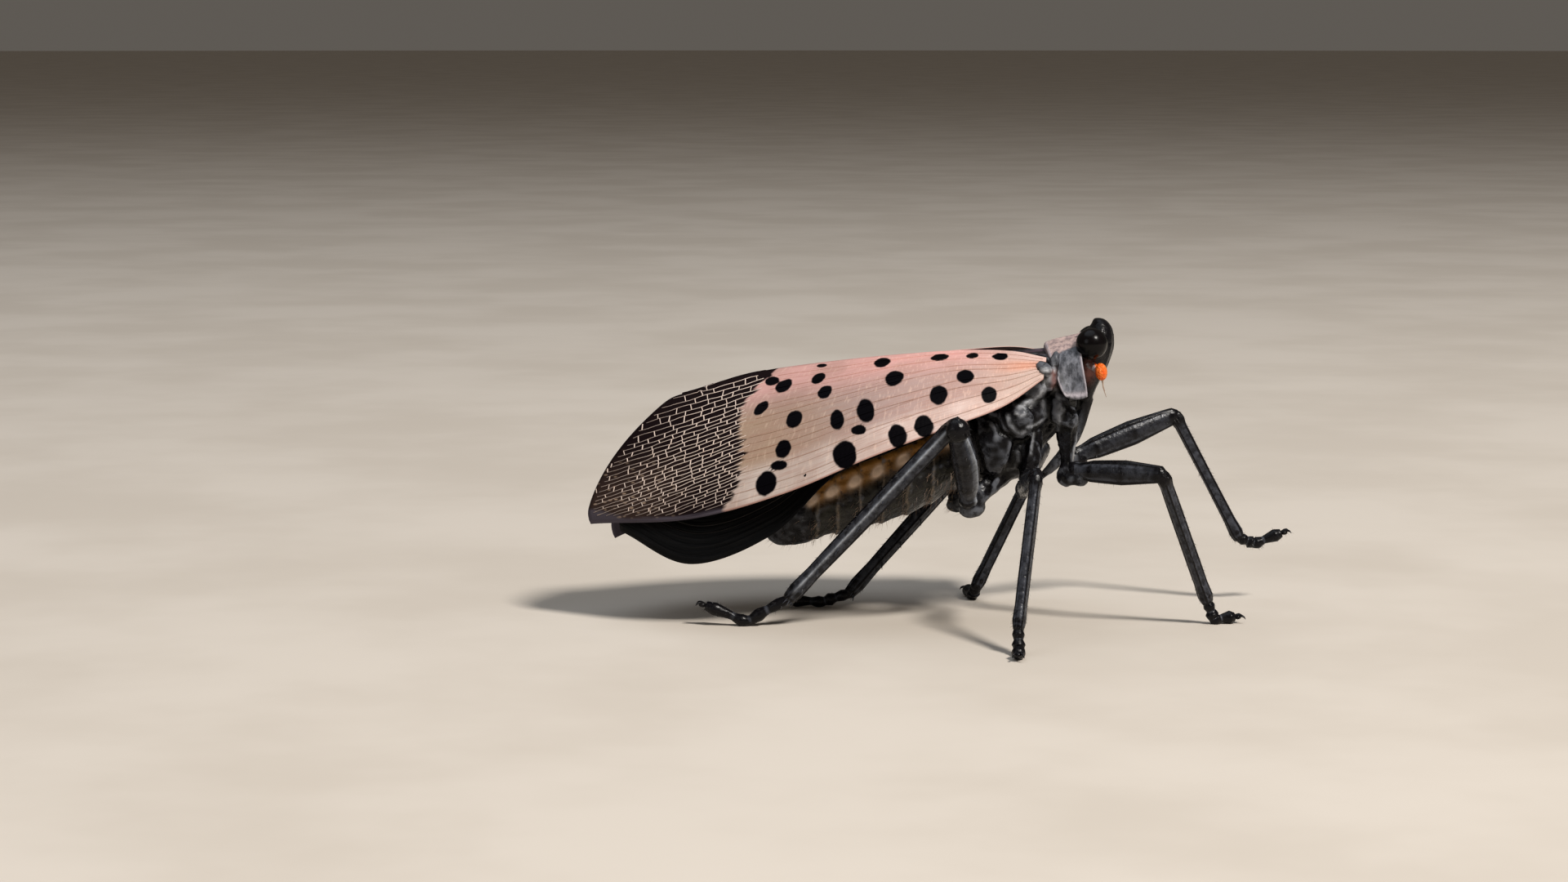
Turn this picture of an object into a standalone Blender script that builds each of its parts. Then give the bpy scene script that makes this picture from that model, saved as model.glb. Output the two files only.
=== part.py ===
"""Spotted lanternfly at life size, standing with its left foreleg lifted.

Lengths are in millimetres while a piece is modelled and in metres once it is placed.
+X is the way the insect faces, -Y is its right side and +Z is up. The soles are at z = 0.
"""
import math

import bmesh
import bpy
from mathutils import Matrix, Vector

MM = 0.001
GAP = 0.3
UP = Vector((0.0, 0.0, 1.0))
RIGHT, LEFT = -1.0, 1.0
SIDE_NAMES = {RIGHT: "right", LEFT: "left"}
CREASE = math.radians(40.0)

# Eyes and antennae
EYE_CENTRE = (6.83, 1.48, 12.42)
EYE_RADIUS = 0.70
ANTENNA_ROOT = (6.75, 1.0, 11.5)
ANTENNA_BULB = (7.24, 1.72, 11.20)
ANTENNA_BULB_RADIUS, ANTENNA_BULB_STRETCH = 0.29, 1.30
ANTENNA_TIP = (7.46, 1.95, 10.1)
# The head is turned a little, so that its left eye and antenna stand further forward and lower.
HEAD_TURN = {RIGHT: (0.0, 0.0, 0.0), LEFT: (0.30, -0.06, -0.14)}

# Head, listed from the upturned process down to the mouth: height, middle, half depth, half width
HEAD_LEVELS = (
    (13.46, 7.22, 0.10, 0.22),
    (13.38, 7.28, 0.26, 0.46),
    (13.15, 7.35, 0.42, 0.66),
    (12.80, 7.26, 0.64, 0.90),
    (12.20, 7.00, 0.92, 1.16),
    (11.60, 6.83, 0.93, 1.24),
    (11.00, 6.74, 0.78, 1.12),
    (10.40, 6.72, 0.52, 0.82),
    (9.85, 6.72, 0.32, 0.48),
)
HEAD_SIDES = 24
FACE_KEEL = 0.07
FACE_KEELS = 5.0

# Beak, from the mouth back between the coxae
BEAK_PATH = ((6.74, 0.0, 9.6), (6.55, 0.0, 8.75), (6.12, 0.0, 7.85), (5.38, 0.0, 6.85), (4.4, 0.0, 6.0))
BEAK_RADII = (0.36, 0.32, 0.28, 0.26, 0.12)

# Body stations: place along X, middle height, half width, rise above it, drop below it
THORAX_STATIONS = (
    (1.25, 8.20, 2.15, 1.60, 2.20),
    (1.90, 8.45, 2.40, 1.70, 2.35),
    (2.80, 8.80, 2.50, 2.00, 2.50),
    (3.70, 9.10, 2.50, 2.05, 2.45),
    (4.45, 9.50, 2.35, 1.70, 2.35),
    (4.80, 9.80, 1.60, 1.60, 2.10),
    (5.40, 10.20, 1.45, 1.40, 1.90),
    (6.10, 10.70, 1.15, 1.00, 1.30),
)
ABDOMEN_STATIONS = (
    (0.95, 8.10, 2.20, 1.45, 2.15),
    (-0.10, 7.75, 2.60, 1.55, 2.45),
    (-1.20, 7.35, 2.90, 1.65, 2.60),
    (-2.30, 6.95, 3.00, 1.70, 2.55),
    (-3.30, 6.55, 2.95, 1.65, 2.45),
    (-4.30, 6.15, 2.75, 1.55, 2.25),
    (-5.20, 5.75, 2.40, 1.40, 2.05),
)
ABDOMEN_TIP_STATIONS = (
    (-5.50, 5.30, 2.10, 1.30, 1.75),
    (-6.20, 4.85, 1.85, 1.10, 1.55),
    (-6.90, 4.45, 1.45, 0.90, 1.20),
    (-7.40, 4.20, 0.90, 0.60, 0.75),
    (-7.62, 4.15, 0.35, 0.25, 0.30),
)
BODY_SIDES = 24
SEGMENT_STEP = 0.14
SEGMENT_LIP = 0.12

# Pronotum: a saddle over the front of the thorax
PRONOTUM_BACK, PRONOTUM_FRONT = 4.8, 6.2
PRONOTUM_TOP_BACK, PRONOTUM_TOP_FRONT = 12.35, 12.72
PRONOTUM_HALF_WIDTH = 2.55
PRONOTUM_LOWEST = 10.05
PRONOTUM_LEAN = 0.75
PRONOTUM_WALL = 0.55
PRONOTUM_COLLAR, PRONOTUM_NOTCH = 0.35, 0.12
PRONOTUM_KEEL, PRONOTUM_KEEL_SPREAD = 0.10, 0.12
PRONOTUM_NARROWING = 0.25
PRONOTUM_ROWS, PRONOTUM_COLUMNS = 5, 25

# Scutellum: the shield between the wing bases
SCUTELLUM_FRONT, SCUTELLUM_POINT = 4.5, 2.0
SCUTELLUM_HALF_WIDTH = 1.45
SCUTELLUM_TOP = 12.05
SCUTELLUM_FALL = 0.15
SCUTELLUM_WALL = 0.5
SCUTELLUM_KEEL, SCUTELLUM_KEEL_TURN = 0.1, 3.0 * math.pi
SCUTELLUM_CROWN = 0.28
SCUTELLUM_BLUNTNESS = 0.12
SCUTELLUM_ROWS, SCUTELLUM_COLUMNS = 8, 13

# Wings: edges of the right one, from root to tip
WING_WALL = 0.5
ARCH_FADE = 0.75
END_SHARPNESS, END_ROUNDNESS = 5.0, 0.5
TOP_EASE, ROOT_EASE = 4.0, 5.0
SLOPE_STEP = 0.01
SLIP_SHARPNESS = 4.0
TEGMEN_TOP = (
    (4.70, -2.20, 11.65), (3.30, -1.20, 12.05), (1.00, -0.20, 11.90), (-2.00, -0.16, 11.62),
    (-5.00, -0.16, 11.35), (-8.00, -0.16, 11.00), (-10.80, -0.16, 10.40),
)
TEGMEN_BOTTOM = (
    (4.60, -2.70, 11.15), (2.80, -3.55, 10.25), (0.20, -4.50, 9.05), (-3.00, -5.10, 7.83),
    (-6.80, -5.20, 6.25), (-10.90, -4.20, 5.00), (-15.42, -1.20, 4.42),
)
TEGMEN_ARCH, TEGMEN_END = 0.16, 0.72
TEGMEN_STATIONS = 18
TIP_SLIP = {RIGHT: (0.0, 0.0, 0.0), LEFT: (0.95, 0.0, -1.00)}
TEGULA = ((4.45, -2.30, 11.35), (3.90, -1.90, 9.90))
TEGULA_PROFILE = ((0.0, 0.24), (0.25, 0.36), (0.6, 0.40), (1.0, 0.34))
HINDWING_TOP = (
    (2.60, -1.50, 10.60), (0.80, -0.40, 10.75), (-1.80, -0.16, 10.60), (-4.20, -0.16, 10.35),
    (-6.40, -0.16, 10.00), (-8.40, -0.16, 9.65), (-10.20, -0.16, 9.20),
)
HINDWING_BOTTOM = (
    (2.40, -2.40, 9.90), (0.30, -3.15, 8.85), (-2.20, -3.65, 7.85), (-4.60, -3.80, 6.80),
    (-7.30, -3.60, 4.20), (-10.90, -2.80, 2.80), (-14.10, -1.20, 4.10),
)
HINDWING_ARCH, HINDWING_END = 0.10, 0.42
HINDWING_STATIONS = 14

# Main veins: share of the wing's width at the root, at the fork and at the margin
TEGMEN_VEINS = (
    (0.14, 0.10, 0.08),
    (0.27, 0.24, 0.20),
    (0.38, 0.38, 0.33),
    (0.47, 0.45, 0.45),
    (0.56, 0.60, 0.57),
    (0.65, 0.67, 0.69),
    (0.76, 0.80, 0.81),
    (0.88, 0.92, 0.92),
)
HINDWING_VEINS = ((0.20, 0.16, 0.12), (0.40, 0.36, 0.34), (0.60, 0.56, 0.56), (0.80, 0.78, 0.78))
VEIN_FORK = 0.42
VEIN_HALF_WIDTH = 0.022
VEIN_RISE = 0.09
VEIN_ROOT_EASE = 9.0

# Legs: coxa root, trochanter, knee, ankle and the points of the foot; widths are radii
LEGS = {
    ("fore", RIGHT): ((5.75, -1.35, 9.6), (5.78, -1.80, 6.85), (9.72, -4.30, 6.97), (12.02, -2.20, 1.00),
                      (12.35, -2.10, 0.22), (13.25, -1.95, 0.30)),
    ("fore", LEFT): ((5.75, 1.35, 9.6), (6.05, 1.80, 6.85), (11.10, 3.20, 8.72), (14.15, 3.50, 3.00),
                     (14.9, 3.60, 2.75), (16.10, 3.70, 3.20)),
    ("mid", RIGHT): ((4.1, -1.9, 8.6), (3.70, -2.65, 6.05), (4.05, -6.8, 7.25), (3.15, -9.3, 1.05),
                     (3.15, -9.7, 0.22), (3.05, -10.9, 0.30)),
    ("mid", LEFT): ((4.1, 1.9, 8.6), (4.05, 2.65, 6.05), (5.30, 5.1, 7.00), (2.10, 3.9, 0.62),
                    (2.0, 4.3, 0.22), (1.8, 5.5, 0.30)),
    ("hind", RIGHT): ((3.2, -1.2, 6.7), (1.40, -2.10, 5.35), (0.62, -5.4, 9.30), (-6.55, -2.7, 1.22),
                      (-8.4, -2.6, 0.24), (-10.2, -2.5, 0.90)),
    ("hind", LEFT): ((3.3, 1.2, 6.5), (0.95, 1.95, 4.95), (3.40, 4.5, 8.35), (-3.75, 2.4, 0.62),
                     (-5.0, 2.4, 0.24), (-6.5, 2.4, 0.30)),
}
COXA_PROFILE = ((0.0, 0.40), (0.2, 0.52), (0.6, 0.50), (0.9, 0.42), (1.0, 0.30))
FEMUR_PROFILE = (
    (0.0, 0.26), (0.06, 0.40), (0.16, 0.36), (0.24, 0.46),
    (0.6, 0.52), (0.88, 0.42), (0.96, 0.38), (1.0, 0.24),
)
TIBIA_PROFILE = (
    (0.0, 0.26), (0.05, 0.36), (0.12, 0.30), (0.5, 0.29), (0.85, 0.30), (0.95, 0.36), (1.0, 0.28),
)
TARSUS_RADII = (0.24, 0.30, 0.24, 0.28, 0.22)
FIRST_TARSOMERE, LAST_TARSOMERE = 0.55, 0.6
CLAW_LENGTH, CLAW_RADIUS, CLAW_SPREAD = 0.5, 0.13, 0.56
CLAW_ROOT, CLAW_DROOP = 0.12, 0.1
COXA_FLAT, FEMUR_FLAT, TIBIA_FLAT = 0.95, 0.80, 0.85
HIND_FEMUR_BREADTH = 1.25
LIMB_SIDES = 10
SPINE_SHARES = (0.28, 0.42, 0.56, 0.69, 0.81)
SPINE_LENGTH, SPINE_RADIUS, SPINE_SIDES = 0.55, 0.15, 5
SPINE_GROWTH = 0.05
SPINE_TIP = 0.12
SPINE_LEAN = (0.8, 0.5, 0.7)
APICAL_SPINES = 5
APICAL_PLACE, APICAL_LEAN = 0.96, 0.9
APICAL_SPREAD = math.radians(80.0)
STEEP = 0.98


def clear_scene():
    for old in list(bpy.data.objects):
        bpy.data.objects.remove(old)


def material(name, colour, roughness, metallic=0.0):
    made = bpy.data.materials.new(name)
    made.use_nodes = True
    shader = made.node_tree.nodes["Principled BSDF"]
    shader.inputs["Base Color"].default_value = (*colour, 1.0)
    shader.inputs["Roughness"].default_value = roughness
    shader.inputs["Metallic"].default_value = metallic
    made.diffuse_color = (*colour, 1.0)
    return made


def place(name, form, finish):
    """Turn a form in millimetres into a named object."""
    mesh = bpy.data.meshes.new(name)
    bmesh.ops.recalc_face_normals(form, faces=form.faces)
    form.to_mesh(mesh)
    form.free()
    made = bpy.data.objects.new(name, mesh)
    bpy.context.scene.collection.objects.link(made)
    made.data.materials.append(finish)
    return made


def mirrored(point, side):
    return Vector((point[0], point[1] * side, point[2]))


def smooth_curve(points, share):
    """A point of the Catmull-Rom curve through the given points."""
    spans = len(points) - 1
    place_on = min(max(share, 0.0), 1.0) * spans
    k = min(int(place_on), spans - 1)
    t = place_on - k
    p1, p2 = Vector(points[k]), Vector(points[k + 1])
    p0 = Vector(points[k - 1]) if k > 0 else 2.0 * p1 - p2
    p3 = Vector(points[k + 2]) if k + 2 <= spans else 2.0 * p2 - p1
    bend = 2.0 * p0 - 5.0 * p1 + 4.0 * p2 - p3
    twist = 3.0 * (p1 - p2) + p3 - p0
    return 0.5 * (2.0 * p1 + (p2 - p0) * t + bend * t * t + twist * t ** 3)


def skin_rings(rings):
    """Join rings of points into one closed form with flat ends."""
    form = bmesh.new()
    rows = [[form.verts.new(point) for point in ring] for ring in rings]
    count = len(rows[0])
    for low, high in zip(rows, rows[1:]):
        for k in range(count):
            n = (k + 1) % count
            form.faces.new((low[k], low[n], high[n], high[k]))
    form.faces.new(rows[0][::-1])
    form.faces.new(rows[-1])
    bmesh.ops.recalc_face_normals(form, faces=form.faces)
    return form


def oval(centre, across, along, half_across, half_along, sides):
    turns = [2.0 * math.pi * k / sides for k in range(sides)]
    return [centre + across * (half_across * math.cos(a)) + along * (half_along * math.sin(a)) for a in turns]


def limb(start, end, profile, flat=1.0, grow=0.0, sides=LIMB_SIDES):
    """A straight tapering limb. flat thins it across its own bending plane."""
    start, end = Vector(start), Vector(end)
    axis = (end - start).normalized()
    length = (end - start).length
    level = UP if abs(axis.z) < STEEP else Vector((1.0, 0.0, 0.0))
    side = axis.cross(level).normalized()
    rise = side.cross(axis)
    rings = []
    for share, radius in profile:
        along = share * length
        if grow and share == 0.0:
            along -= grow
        if grow and share == 1.0:
            along += grow
        wide, deep = radius * flat + grow, radius + grow
        rings.append(oval(start + axis * along, side, rise, wide, deep, sides))
    return skin_rings(rings)


def tube(path, radii, grow=0.0, sides=LIMB_SIDES):
    """A bent limb that lies in one upright plane."""
    points = [Vector(p) for p in path]
    if grow:
        points[0] -= (points[1] - points[0]).normalized() * grow
        points[-1] += (points[-1] - points[-2]).normalized() * grow
    reach = points[-1] - points[0]
    side = Vector((reach.y, -reach.x, 0.0)).normalized()
    rings = []
    for k, (point, radius) in enumerate(zip(points, radii)):
        before, after = points[max(k - 1, 0)], points[min(k + 1, len(points) - 1)]
        axis = (after - before).normalized()
        rings.append(oval(point, side, side.cross(axis), radius + grow, radius + grow, sides))
    return skin_rings(rings)


def ball(centre, radius, sides=16, levels=9, stretch=1.0):
    rings = []
    for k in range(1, levels):
        turn = math.pi * k / levels
        middle = centre + UP * (radius * stretch * math.cos(turn))
        flat = radius * math.sin(turn)
        rings.append(oval(middle, Vector((1.0, 0.0, 0.0)), Vector((0.0, 1.0, 0.0)), flat, flat, sides))
    return skin_rings(rings)


def spine(root, direction, length, radius):
    """A sharp cone of five sides whose root end goes into what carries it."""
    axis = direction.normalized()
    side = axis.orthogonal().normalized()
    rise = axis.cross(side)
    tip = SPINE_TIP * radius
    return skin_rings([oval(root, side, rise, radius, radius, SPINE_SIDES),
                       oval(root + axis * length, side, rise, tip, tip, SPINE_SIDES)])


def lamina(outer, inner):
    """A thin closed plate between two like grids, split into triangles alike on both."""
    form = bmesh.new()
    front = [[form.verts.new(p) for p in row] for row in outer]
    back = [[form.verts.new(p) for p in row] for row in inner]
    rows, columns = len(front), len(front[0])
    for r in range(rows - 1):
        for c in range(columns - 1):
            a, b = (r, c), (r + 1, c)
            d, e = (r + 1, c + 1), (r, c + 1)
            for trio in ((a, b, d), (a, d, e)):
                form.faces.new([front[i][j] for i, j in trio])
                form.faces.new([back[i][j] for i, j in reversed(trio)])
    rim = [(0, c) for c in range(columns)]
    rim += [(r, columns - 1) for r in range(1, rows)]
    rim += [(rows - 1, c) for c in range(columns - 2, -1, -1)]
    rim += [(r, 0) for r in range(rows - 2, 0, -1)]
    for (i, j), (m, n) in zip(rim, rim[1:] + rim[:1]):
        form.faces.new((front[i][j], front[m][n], back[m][n], back[i][j]))
    bmesh.ops.recalc_face_normals(form, faces=form.faces)
    return form


def evaluate(target):
    bpy.context.view_layer.update()
    depsgraph = bpy.context.evaluated_depsgraph_get()
    mesh = bpy.data.meshes.new_from_object(target.evaluated_get(depsgraph))
    target.modifiers.clear()
    target.data = mesh


def keep_largest(target):
    """Keep only the largest closed surface of a mesh."""
    form = bmesh.new()
    form.from_mesh(target.data)
    unseen, shells = set(form.verts), []
    while unseen:
        shell, edge_front = set(), [unseen.pop()]
        while edge_front:
            vert = edge_front.pop()
            shell.add(vert)
            for edge in vert.link_edges:
                other = edge.other_vert(vert)
                if other in unseen:
                    unseen.remove(other)
                    edge_front.append(other)
        shells.append(shell)
    shells.sort(key=len)
    spare = [vert for shell in shells[:-1] for vert in shell]
    bmesh.ops.delete(form, geom=spare, context="VERTS")
    form.to_mesh(target.data)
    form.free()


def combine(target, forms, operation):
    """Fuse forms with a piece, or carve them out of it, in one Boolean."""
    group = bpy.data.collections.new("boolean_forms")
    bpy.context.scene.collection.children.link(group)
    for k, form in enumerate(forms):
        mesh = bpy.data.meshes.new("form_%02d" % k)
        form.to_mesh(mesh)
        form.free()
        group.objects.link(bpy.data.objects.new("form_%02d" % k, mesh))
    step = target.modifiers.new("combine", "BOOLEAN")
    step.operation = operation
    step.operand_type = "COLLECTION"
    step.collection = group
    step.solver = "EXACT"
    evaluate(target)
    for used in list(group.objects):
        bpy.data.objects.remove(used)
    bpy.data.collections.remove(group)
    keep_largest(target)


def fuse(target, forms):
    combine(target, forms, "UNION")


def carve(target, forms):
    combine(target, forms, "DIFFERENCE")


def cut_at_floor(target):
    form = bmesh.new()
    form.from_mesh(target.data)
    geometry = form.verts[:] + form.edges[:] + form.faces[:]
    cut = bmesh.ops.bisect_plane(form, geom=geometry, plane_co=(0.0, 0.0, 0.0), plane_no=(0.0, 0.0, -1.0),
                                 clear_outer=True)
    rim = [item for item in cut["geom_cut"] if isinstance(item, bmesh.types.BMEdge)]
    if rim:
        bmesh.ops.contextual_create(form, geom=rim)
    bmesh.ops.recalc_face_normals(form, faces=form.faces)
    form.to_mesh(target.data)
    form.free()


def head_form(grow=0.0):
    """Process, vertex, face and cheeks in one, with upright keels on the face."""
    rings = []
    for k, (height, middle, half_depth, half_width) in enumerate(HEAD_LEVELS):
        if grow and k == 0:
            height += grow
        if grow and k == len(HEAD_LEVELS) - 1:
            height -= grow
        ring = []
        for n in range(HEAD_SIDES):
            turn = 2.0 * math.pi * n / HEAD_SIDES
            facing = max(math.cos(turn), 0.0)
            keel = 1.0 + FACE_KEEL * facing * math.cos(FACE_KEELS * turn)
            ring.append(Vector((middle + (half_depth + grow) * keel * math.cos(turn),
                                (half_width + grow) * math.sin(turn), height)))
        rings.append(ring)
    return skin_rings(rings)


def body_ring(station, grow=0.0):
    x, middle, half_width, rise, drop = station
    ring = []
    for k in range(BODY_SIDES):
        turn = 2.0 * math.pi * k / BODY_SIDES
        reach = grow + (rise if math.cos(turn) > 0.0 else drop)
        ring.append(Vector((x, (half_width + grow) * math.sin(turn), middle + reach * math.cos(turn))))
    return ring


def thorax_form(grow=0.0):
    stations = [list(s) for s in THORAX_STATIONS]
    stations[0][0] -= grow
    stations[-1][0] += grow
    return skin_rings([body_ring(s, grow) for s in stations])


def abdomen_form(stations):
    """Each segment swells to a lip that steps down to the next."""
    rings = []
    for front, back in zip(stations, stations[1:]):
        lip_place = back[0] + SEGMENT_LIP
        rings.append(body_ring(front))
        rings.append(body_ring((lip_place, *back[1:]), SEGMENT_STEP))
    rings.append(body_ring(stations[-1]))
    return skin_rings(rings)


def pronotum_form():
    """A saddle whose sides run down and forward, its front edge pushed out between the eyes."""
    outer, inner = [], []
    for r in range(PRONOTUM_ROWS):
        share = r / (PRONOTUM_ROWS - 1)
        top = PRONOTUM_TOP_BACK + (PRONOTUM_TOP_FRONT - PRONOTUM_TOP_BACK) * share
        tall = top - PRONOTUM_LOWEST
        outer_row, inner_row = [], []
        for c in range(PRONOTUM_COLUMNS):
            turn = math.pi * (c / (PRONOTUM_COLUMNS - 1) - 0.5)
            down = 1.0 - math.cos(turn)
            length = (PRONOTUM_FRONT - PRONOTUM_BACK) * (1.0 - PRONOTUM_NARROWING * down)
            x = PRONOTUM_BACK + length * share + PRONOTUM_LEAN * down
            x += PRONOTUM_COLLAR * share * math.cos(turn) ** 6
            x += PRONOTUM_NOTCH * (1.0 - share) * math.cos(turn) ** 4
            y_out = PRONOTUM_HALF_WIDTH * math.sin(turn)
            y_in = (PRONOTUM_HALF_WIDTH - PRONOTUM_WALL) * math.sin(turn)
            rise = tall * math.cos(turn) + PRONOTUM_KEEL * math.exp(-(turn / PRONOTUM_KEEL_SPREAD) ** 2)
            outer_row.append(Vector((x, y_out, PRONOTUM_LOWEST + rise)))
            inner_row.append(Vector((x, y_in, PRONOTUM_LOWEST + (tall - PRONOTUM_WALL) * math.cos(turn))))
        outer.append(outer_row)
        inner.append(inner_row)
    return lamina(outer, inner)


def scutellum_form():
    """A shield that narrows to the rear, with three keels."""
    outer, inner = [], []
    for r in range(SCUTELLUM_ROWS):
        share = r / (SCUTELLUM_ROWS - 1)
        x = SCUTELLUM_FRONT + (SCUTELLUM_POINT - SCUTELLUM_FRONT) * share
        half = SCUTELLUM_HALF_WIDTH * (1.0 - share ** 1.3) + SCUTELLUM_BLUNTNESS
        height = SCUTELLUM_TOP - SCUTELLUM_FALL * share
        outer_row, inner_row = [], []
        for c in range(SCUTELLUM_COLUMNS):
            across = 2.0 * c / (SCUTELLUM_COLUMNS - 1) - 1.0
            keel = SCUTELLUM_KEEL * (1.0 - share) * max(0.0, math.cos(SCUTELLUM_KEEL_TURN * across))
            crown = SCUTELLUM_CROWN * half * across * across
            outer_row.append(Vector((x, half * across, height - crown + keel)))
            inner_row.append(Vector((x, half * across, height - crown - SCUTELLUM_WALL)))
        outer.append(outer_row)
        inner.append(inner_row)
    return lamina(outer, inner)


def vein_share(vein, along):
    """Where a main vein runs, as a share of the wing's width."""
    root, fork, margin = vein
    if along < VEIN_FORK:
        return root + (fork - root) * along / VEIN_FORK
    return fork + (margin - fork) * (along - VEIN_FORK) / (1.0 - VEIN_FORK)


def wing_columns(veins, along):
    """Shares of the width with the rise of the surface at each: three to a vein, one between."""
    lines = [vein_share(vein, along) for vein in veins]
    columns = [(0.0, 0.0)]
    for k, line in enumerate(lines):
        columns += [(line - VEIN_HALF_WIDTH, 0.0), (line, VEIN_RISE), (line + VEIN_HALF_WIDTH, 0.0)]
        following = lines[k + 1] if k + 1 < len(lines) else 1.0 + VEIN_HALF_WIDTH
        columns.append((0.5 * (line + following), 0.0))
    return columns[:-1] + [(1.0, 0.0)]


def wing_form(top, bottom, arch, end, veins, stations, side, slip):
    """An arched membrane between two edges, its main veins raised in its outer face."""
    def surface(along, across):
        high, low = smooth_curve(top, along), smooth_curve(bottom, along)
        chord = low - high
        outward = Vector((0.0, chord.z, -chord.y)).normalized()
        rearward = Vector((chord.z, 0.0, -chord.x)).normalized()
        crown = max(math.sin(math.pi * across), 0.0)
        swell = arch * (1.0 - ARCH_FADE * along ** 3)
        bulge = end * along ** END_SHARPNESS * crown ** END_ROUNDNESS
        drift = Vector(slip) * (along ** SLIP_SHARPNESS * across)
        return high + chord * across + outward * (swell * chord.length * crown) + rearward * bulge + drift

    outer, inner = [], []
    for r in range(stations + 1):
        along = r / stations
        outer_row, inner_row = [], []
        for across, rise in wing_columns(veins, along):
            along_low, along_high = max(along - SLOPE_STEP, 0.0), min(along + SLOPE_STEP, 1.0)
            across_low, across_high = max(across - SLOPE_STEP, 0.0), min(across + SLOPE_STEP, 1.0)
            run = surface(along_high, across) - surface(along_low, across)
            drop = surface(along, across_high) - surface(along, across_low)
            normal = drop.cross(run).normalized()
            if normal.y > 0.0:
                normal = -normal
            ease = min(1.0, across * TOP_EASE) * min(1.0, along * ROOT_EASE)
            inward = (-UP).lerp(-normal, ease).normalized()
            depth = min(WING_WALL / max(inward.dot(-normal), 0.5), 2.0 * WING_WALL)
            point = surface(along, across)
            raised = rise * min(1.0, along * VEIN_ROOT_EASE)
            outer_row.append(mirrored(point + normal * raised, -side))
            inner_row.append(mirrored(point + inward * depth, -side))
        outer.append(outer_row)
        inner.append(inner_row)
    return lamina(outer, inner)


def leg_limbs(stage, side):
    """The four forms of a leg, each of which may be grown to carve its neighbour."""
    coxa, trochanter, knee, ankle, heel, toe = (Vector(p) for p in LEGS[stage, side])
    breadth = HIND_FEMUR_BREADTH if stage == "hind" else 1.0
    femur_profile = [(share, radius * breadth) for share, radius in FEMUR_PROFILE]
    foot = (ankle, ankle.lerp(heel, FIRST_TARSOMERE), heel, heel.lerp(toe, LAST_TARSOMERE), toe)
    return {
        "coxa": lambda grow: limb(coxa, trochanter, COXA_PROFILE, COXA_FLAT, grow),
        "femur": lambda grow: limb(trochanter, knee, femur_profile, FEMUR_FLAT, grow),
        "tibia": lambda grow: limb(knee, ankle, TIBIA_PROFILE, TIBIA_FLAT, grow),
        "tarsus": lambda grow: tube(foot, TARSUS_RADII, grow),
    }


def hind_spines(stage, side):
    """Outer spines along a hind tibia and the crown of spines at its end."""
    knee, ankle = Vector(LEGS[stage, side][2]), Vector(LEGS[stage, side][3])
    axis = (ankle - knee).normalized()
    outward = Vector((0.0, side, 0.0))
    outward = (outward - axis * outward.dot(axis)).normalized()
    below = axis.cross(outward) * side
    below = below if below.z < 0.0 else -below
    lean = outward * SPINE_LEAN[0] + below * SPINE_LEAN[1] + axis * SPINE_LEAN[2]
    spines = []
    for k, share in enumerate(SPINE_SHARES):
        length = SPINE_LENGTH * (1.0 + SPINE_GROWTH * (k - 2))
        spines.append(spine(knee.lerp(ankle, share), lean, length, SPINE_RADIUS))
    root = knee.lerp(ankle, APICAL_PLACE)
    for k in range(APICAL_SPINES):
        turn = APICAL_SPREAD * (2.0 * k / (APICAL_SPINES - 1) - 1.0)
        lean = below * math.cos(turn) + outward * math.sin(turn) + axis * APICAL_LEAN
        spines.append(spine(root, lean, SPINE_LENGTH, SPINE_RADIUS))
    return spines


def claws(stage, side):
    heel, toe = Vector(LEGS[stage, side][4]), Vector(LEGS[stage, side][5])
    ahead = (toe - heel).normalized()
    across = ahead.cross(UP).normalized()
    root = toe - ahead * CLAW_ROOT
    return [spine(root, ahead + across * CLAW_SPREAD * hand - UP * CLAW_DROOP, CLAW_LENGTH, CLAW_RADIUS)
            for hand in (-1.0, 1.0)]


def make_leg(stage, side, finish):
    name = "%s_%s_" % (stage, SIDE_NAMES[side])
    forms = leg_limbs(stage, side)
    coxa = place(name + "coxa", forms["coxa"](0.0), finish)
    carve(coxa, [thorax_form(GAP), tube(BEAK_PATH, BEAK_RADII, GAP)])
    femur = place(name + "femur", forms["femur"](0.0), finish)
    carve(femur, [forms["coxa"](GAP)])
    tibia = place(name + "tibia", forms["tibia"](0.0), finish)
    if stage == "hind":
        fuse(tibia, hind_spines(stage, side))
    carve(tibia, [forms["femur"](GAP)])
    tarsus = place(name + "tarsus", forms["tarsus"](0.0), finish)
    fuse(tarsus, claws(stage, side))
    carve(tarsus, [forms["tibia"](GAP)])
    cut_at_floor(tarsus)
    return [coxa, femur, tibia, tarsus]


def on_head(point, side):
    return mirrored(point, side) + Vector(HEAD_TURN[side])


def make_head(finish, eye_finish, antenna_finish):
    head = place("head", head_form(), finish)
    made = [head]
    for side in (RIGHT, LEFT):
        eye_centre = on_head(EYE_CENTRE, side)
        carve(head, [ball(eye_centre, EYE_RADIUS + GAP)])
        made.append(place("eye_" + SIDE_NAMES[side], ball(eye_centre, EYE_RADIUS), eye_finish))
        root, bulb, tip = (on_head(p, side) for p in (ANTENNA_ROOT, ANTENNA_BULB, ANTENNA_TIP))
        bulb_form = ball(bulb, ANTENNA_BULB_RADIUS, 12, 7, ANTENNA_BULB_STRETCH)
        antenna = place("antenna_" + SIDE_NAMES[side], bulb_form, antenna_finish)
        stalk = limb(root, bulb, ((0.0, 0.25), (1.0, 0.22)), sides=8)
        bristle = limb(bulb, tip, ((0.0, 0.14), (0.4, 0.10), (1.0, 0.03)), sides=6)
        fuse(antenna, [stalk, bristle])
        carve(antenna, [head_form(GAP), ball(eye_centre, EYE_RADIUS + GAP)])
        made.append(antenna)
    return made


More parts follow.
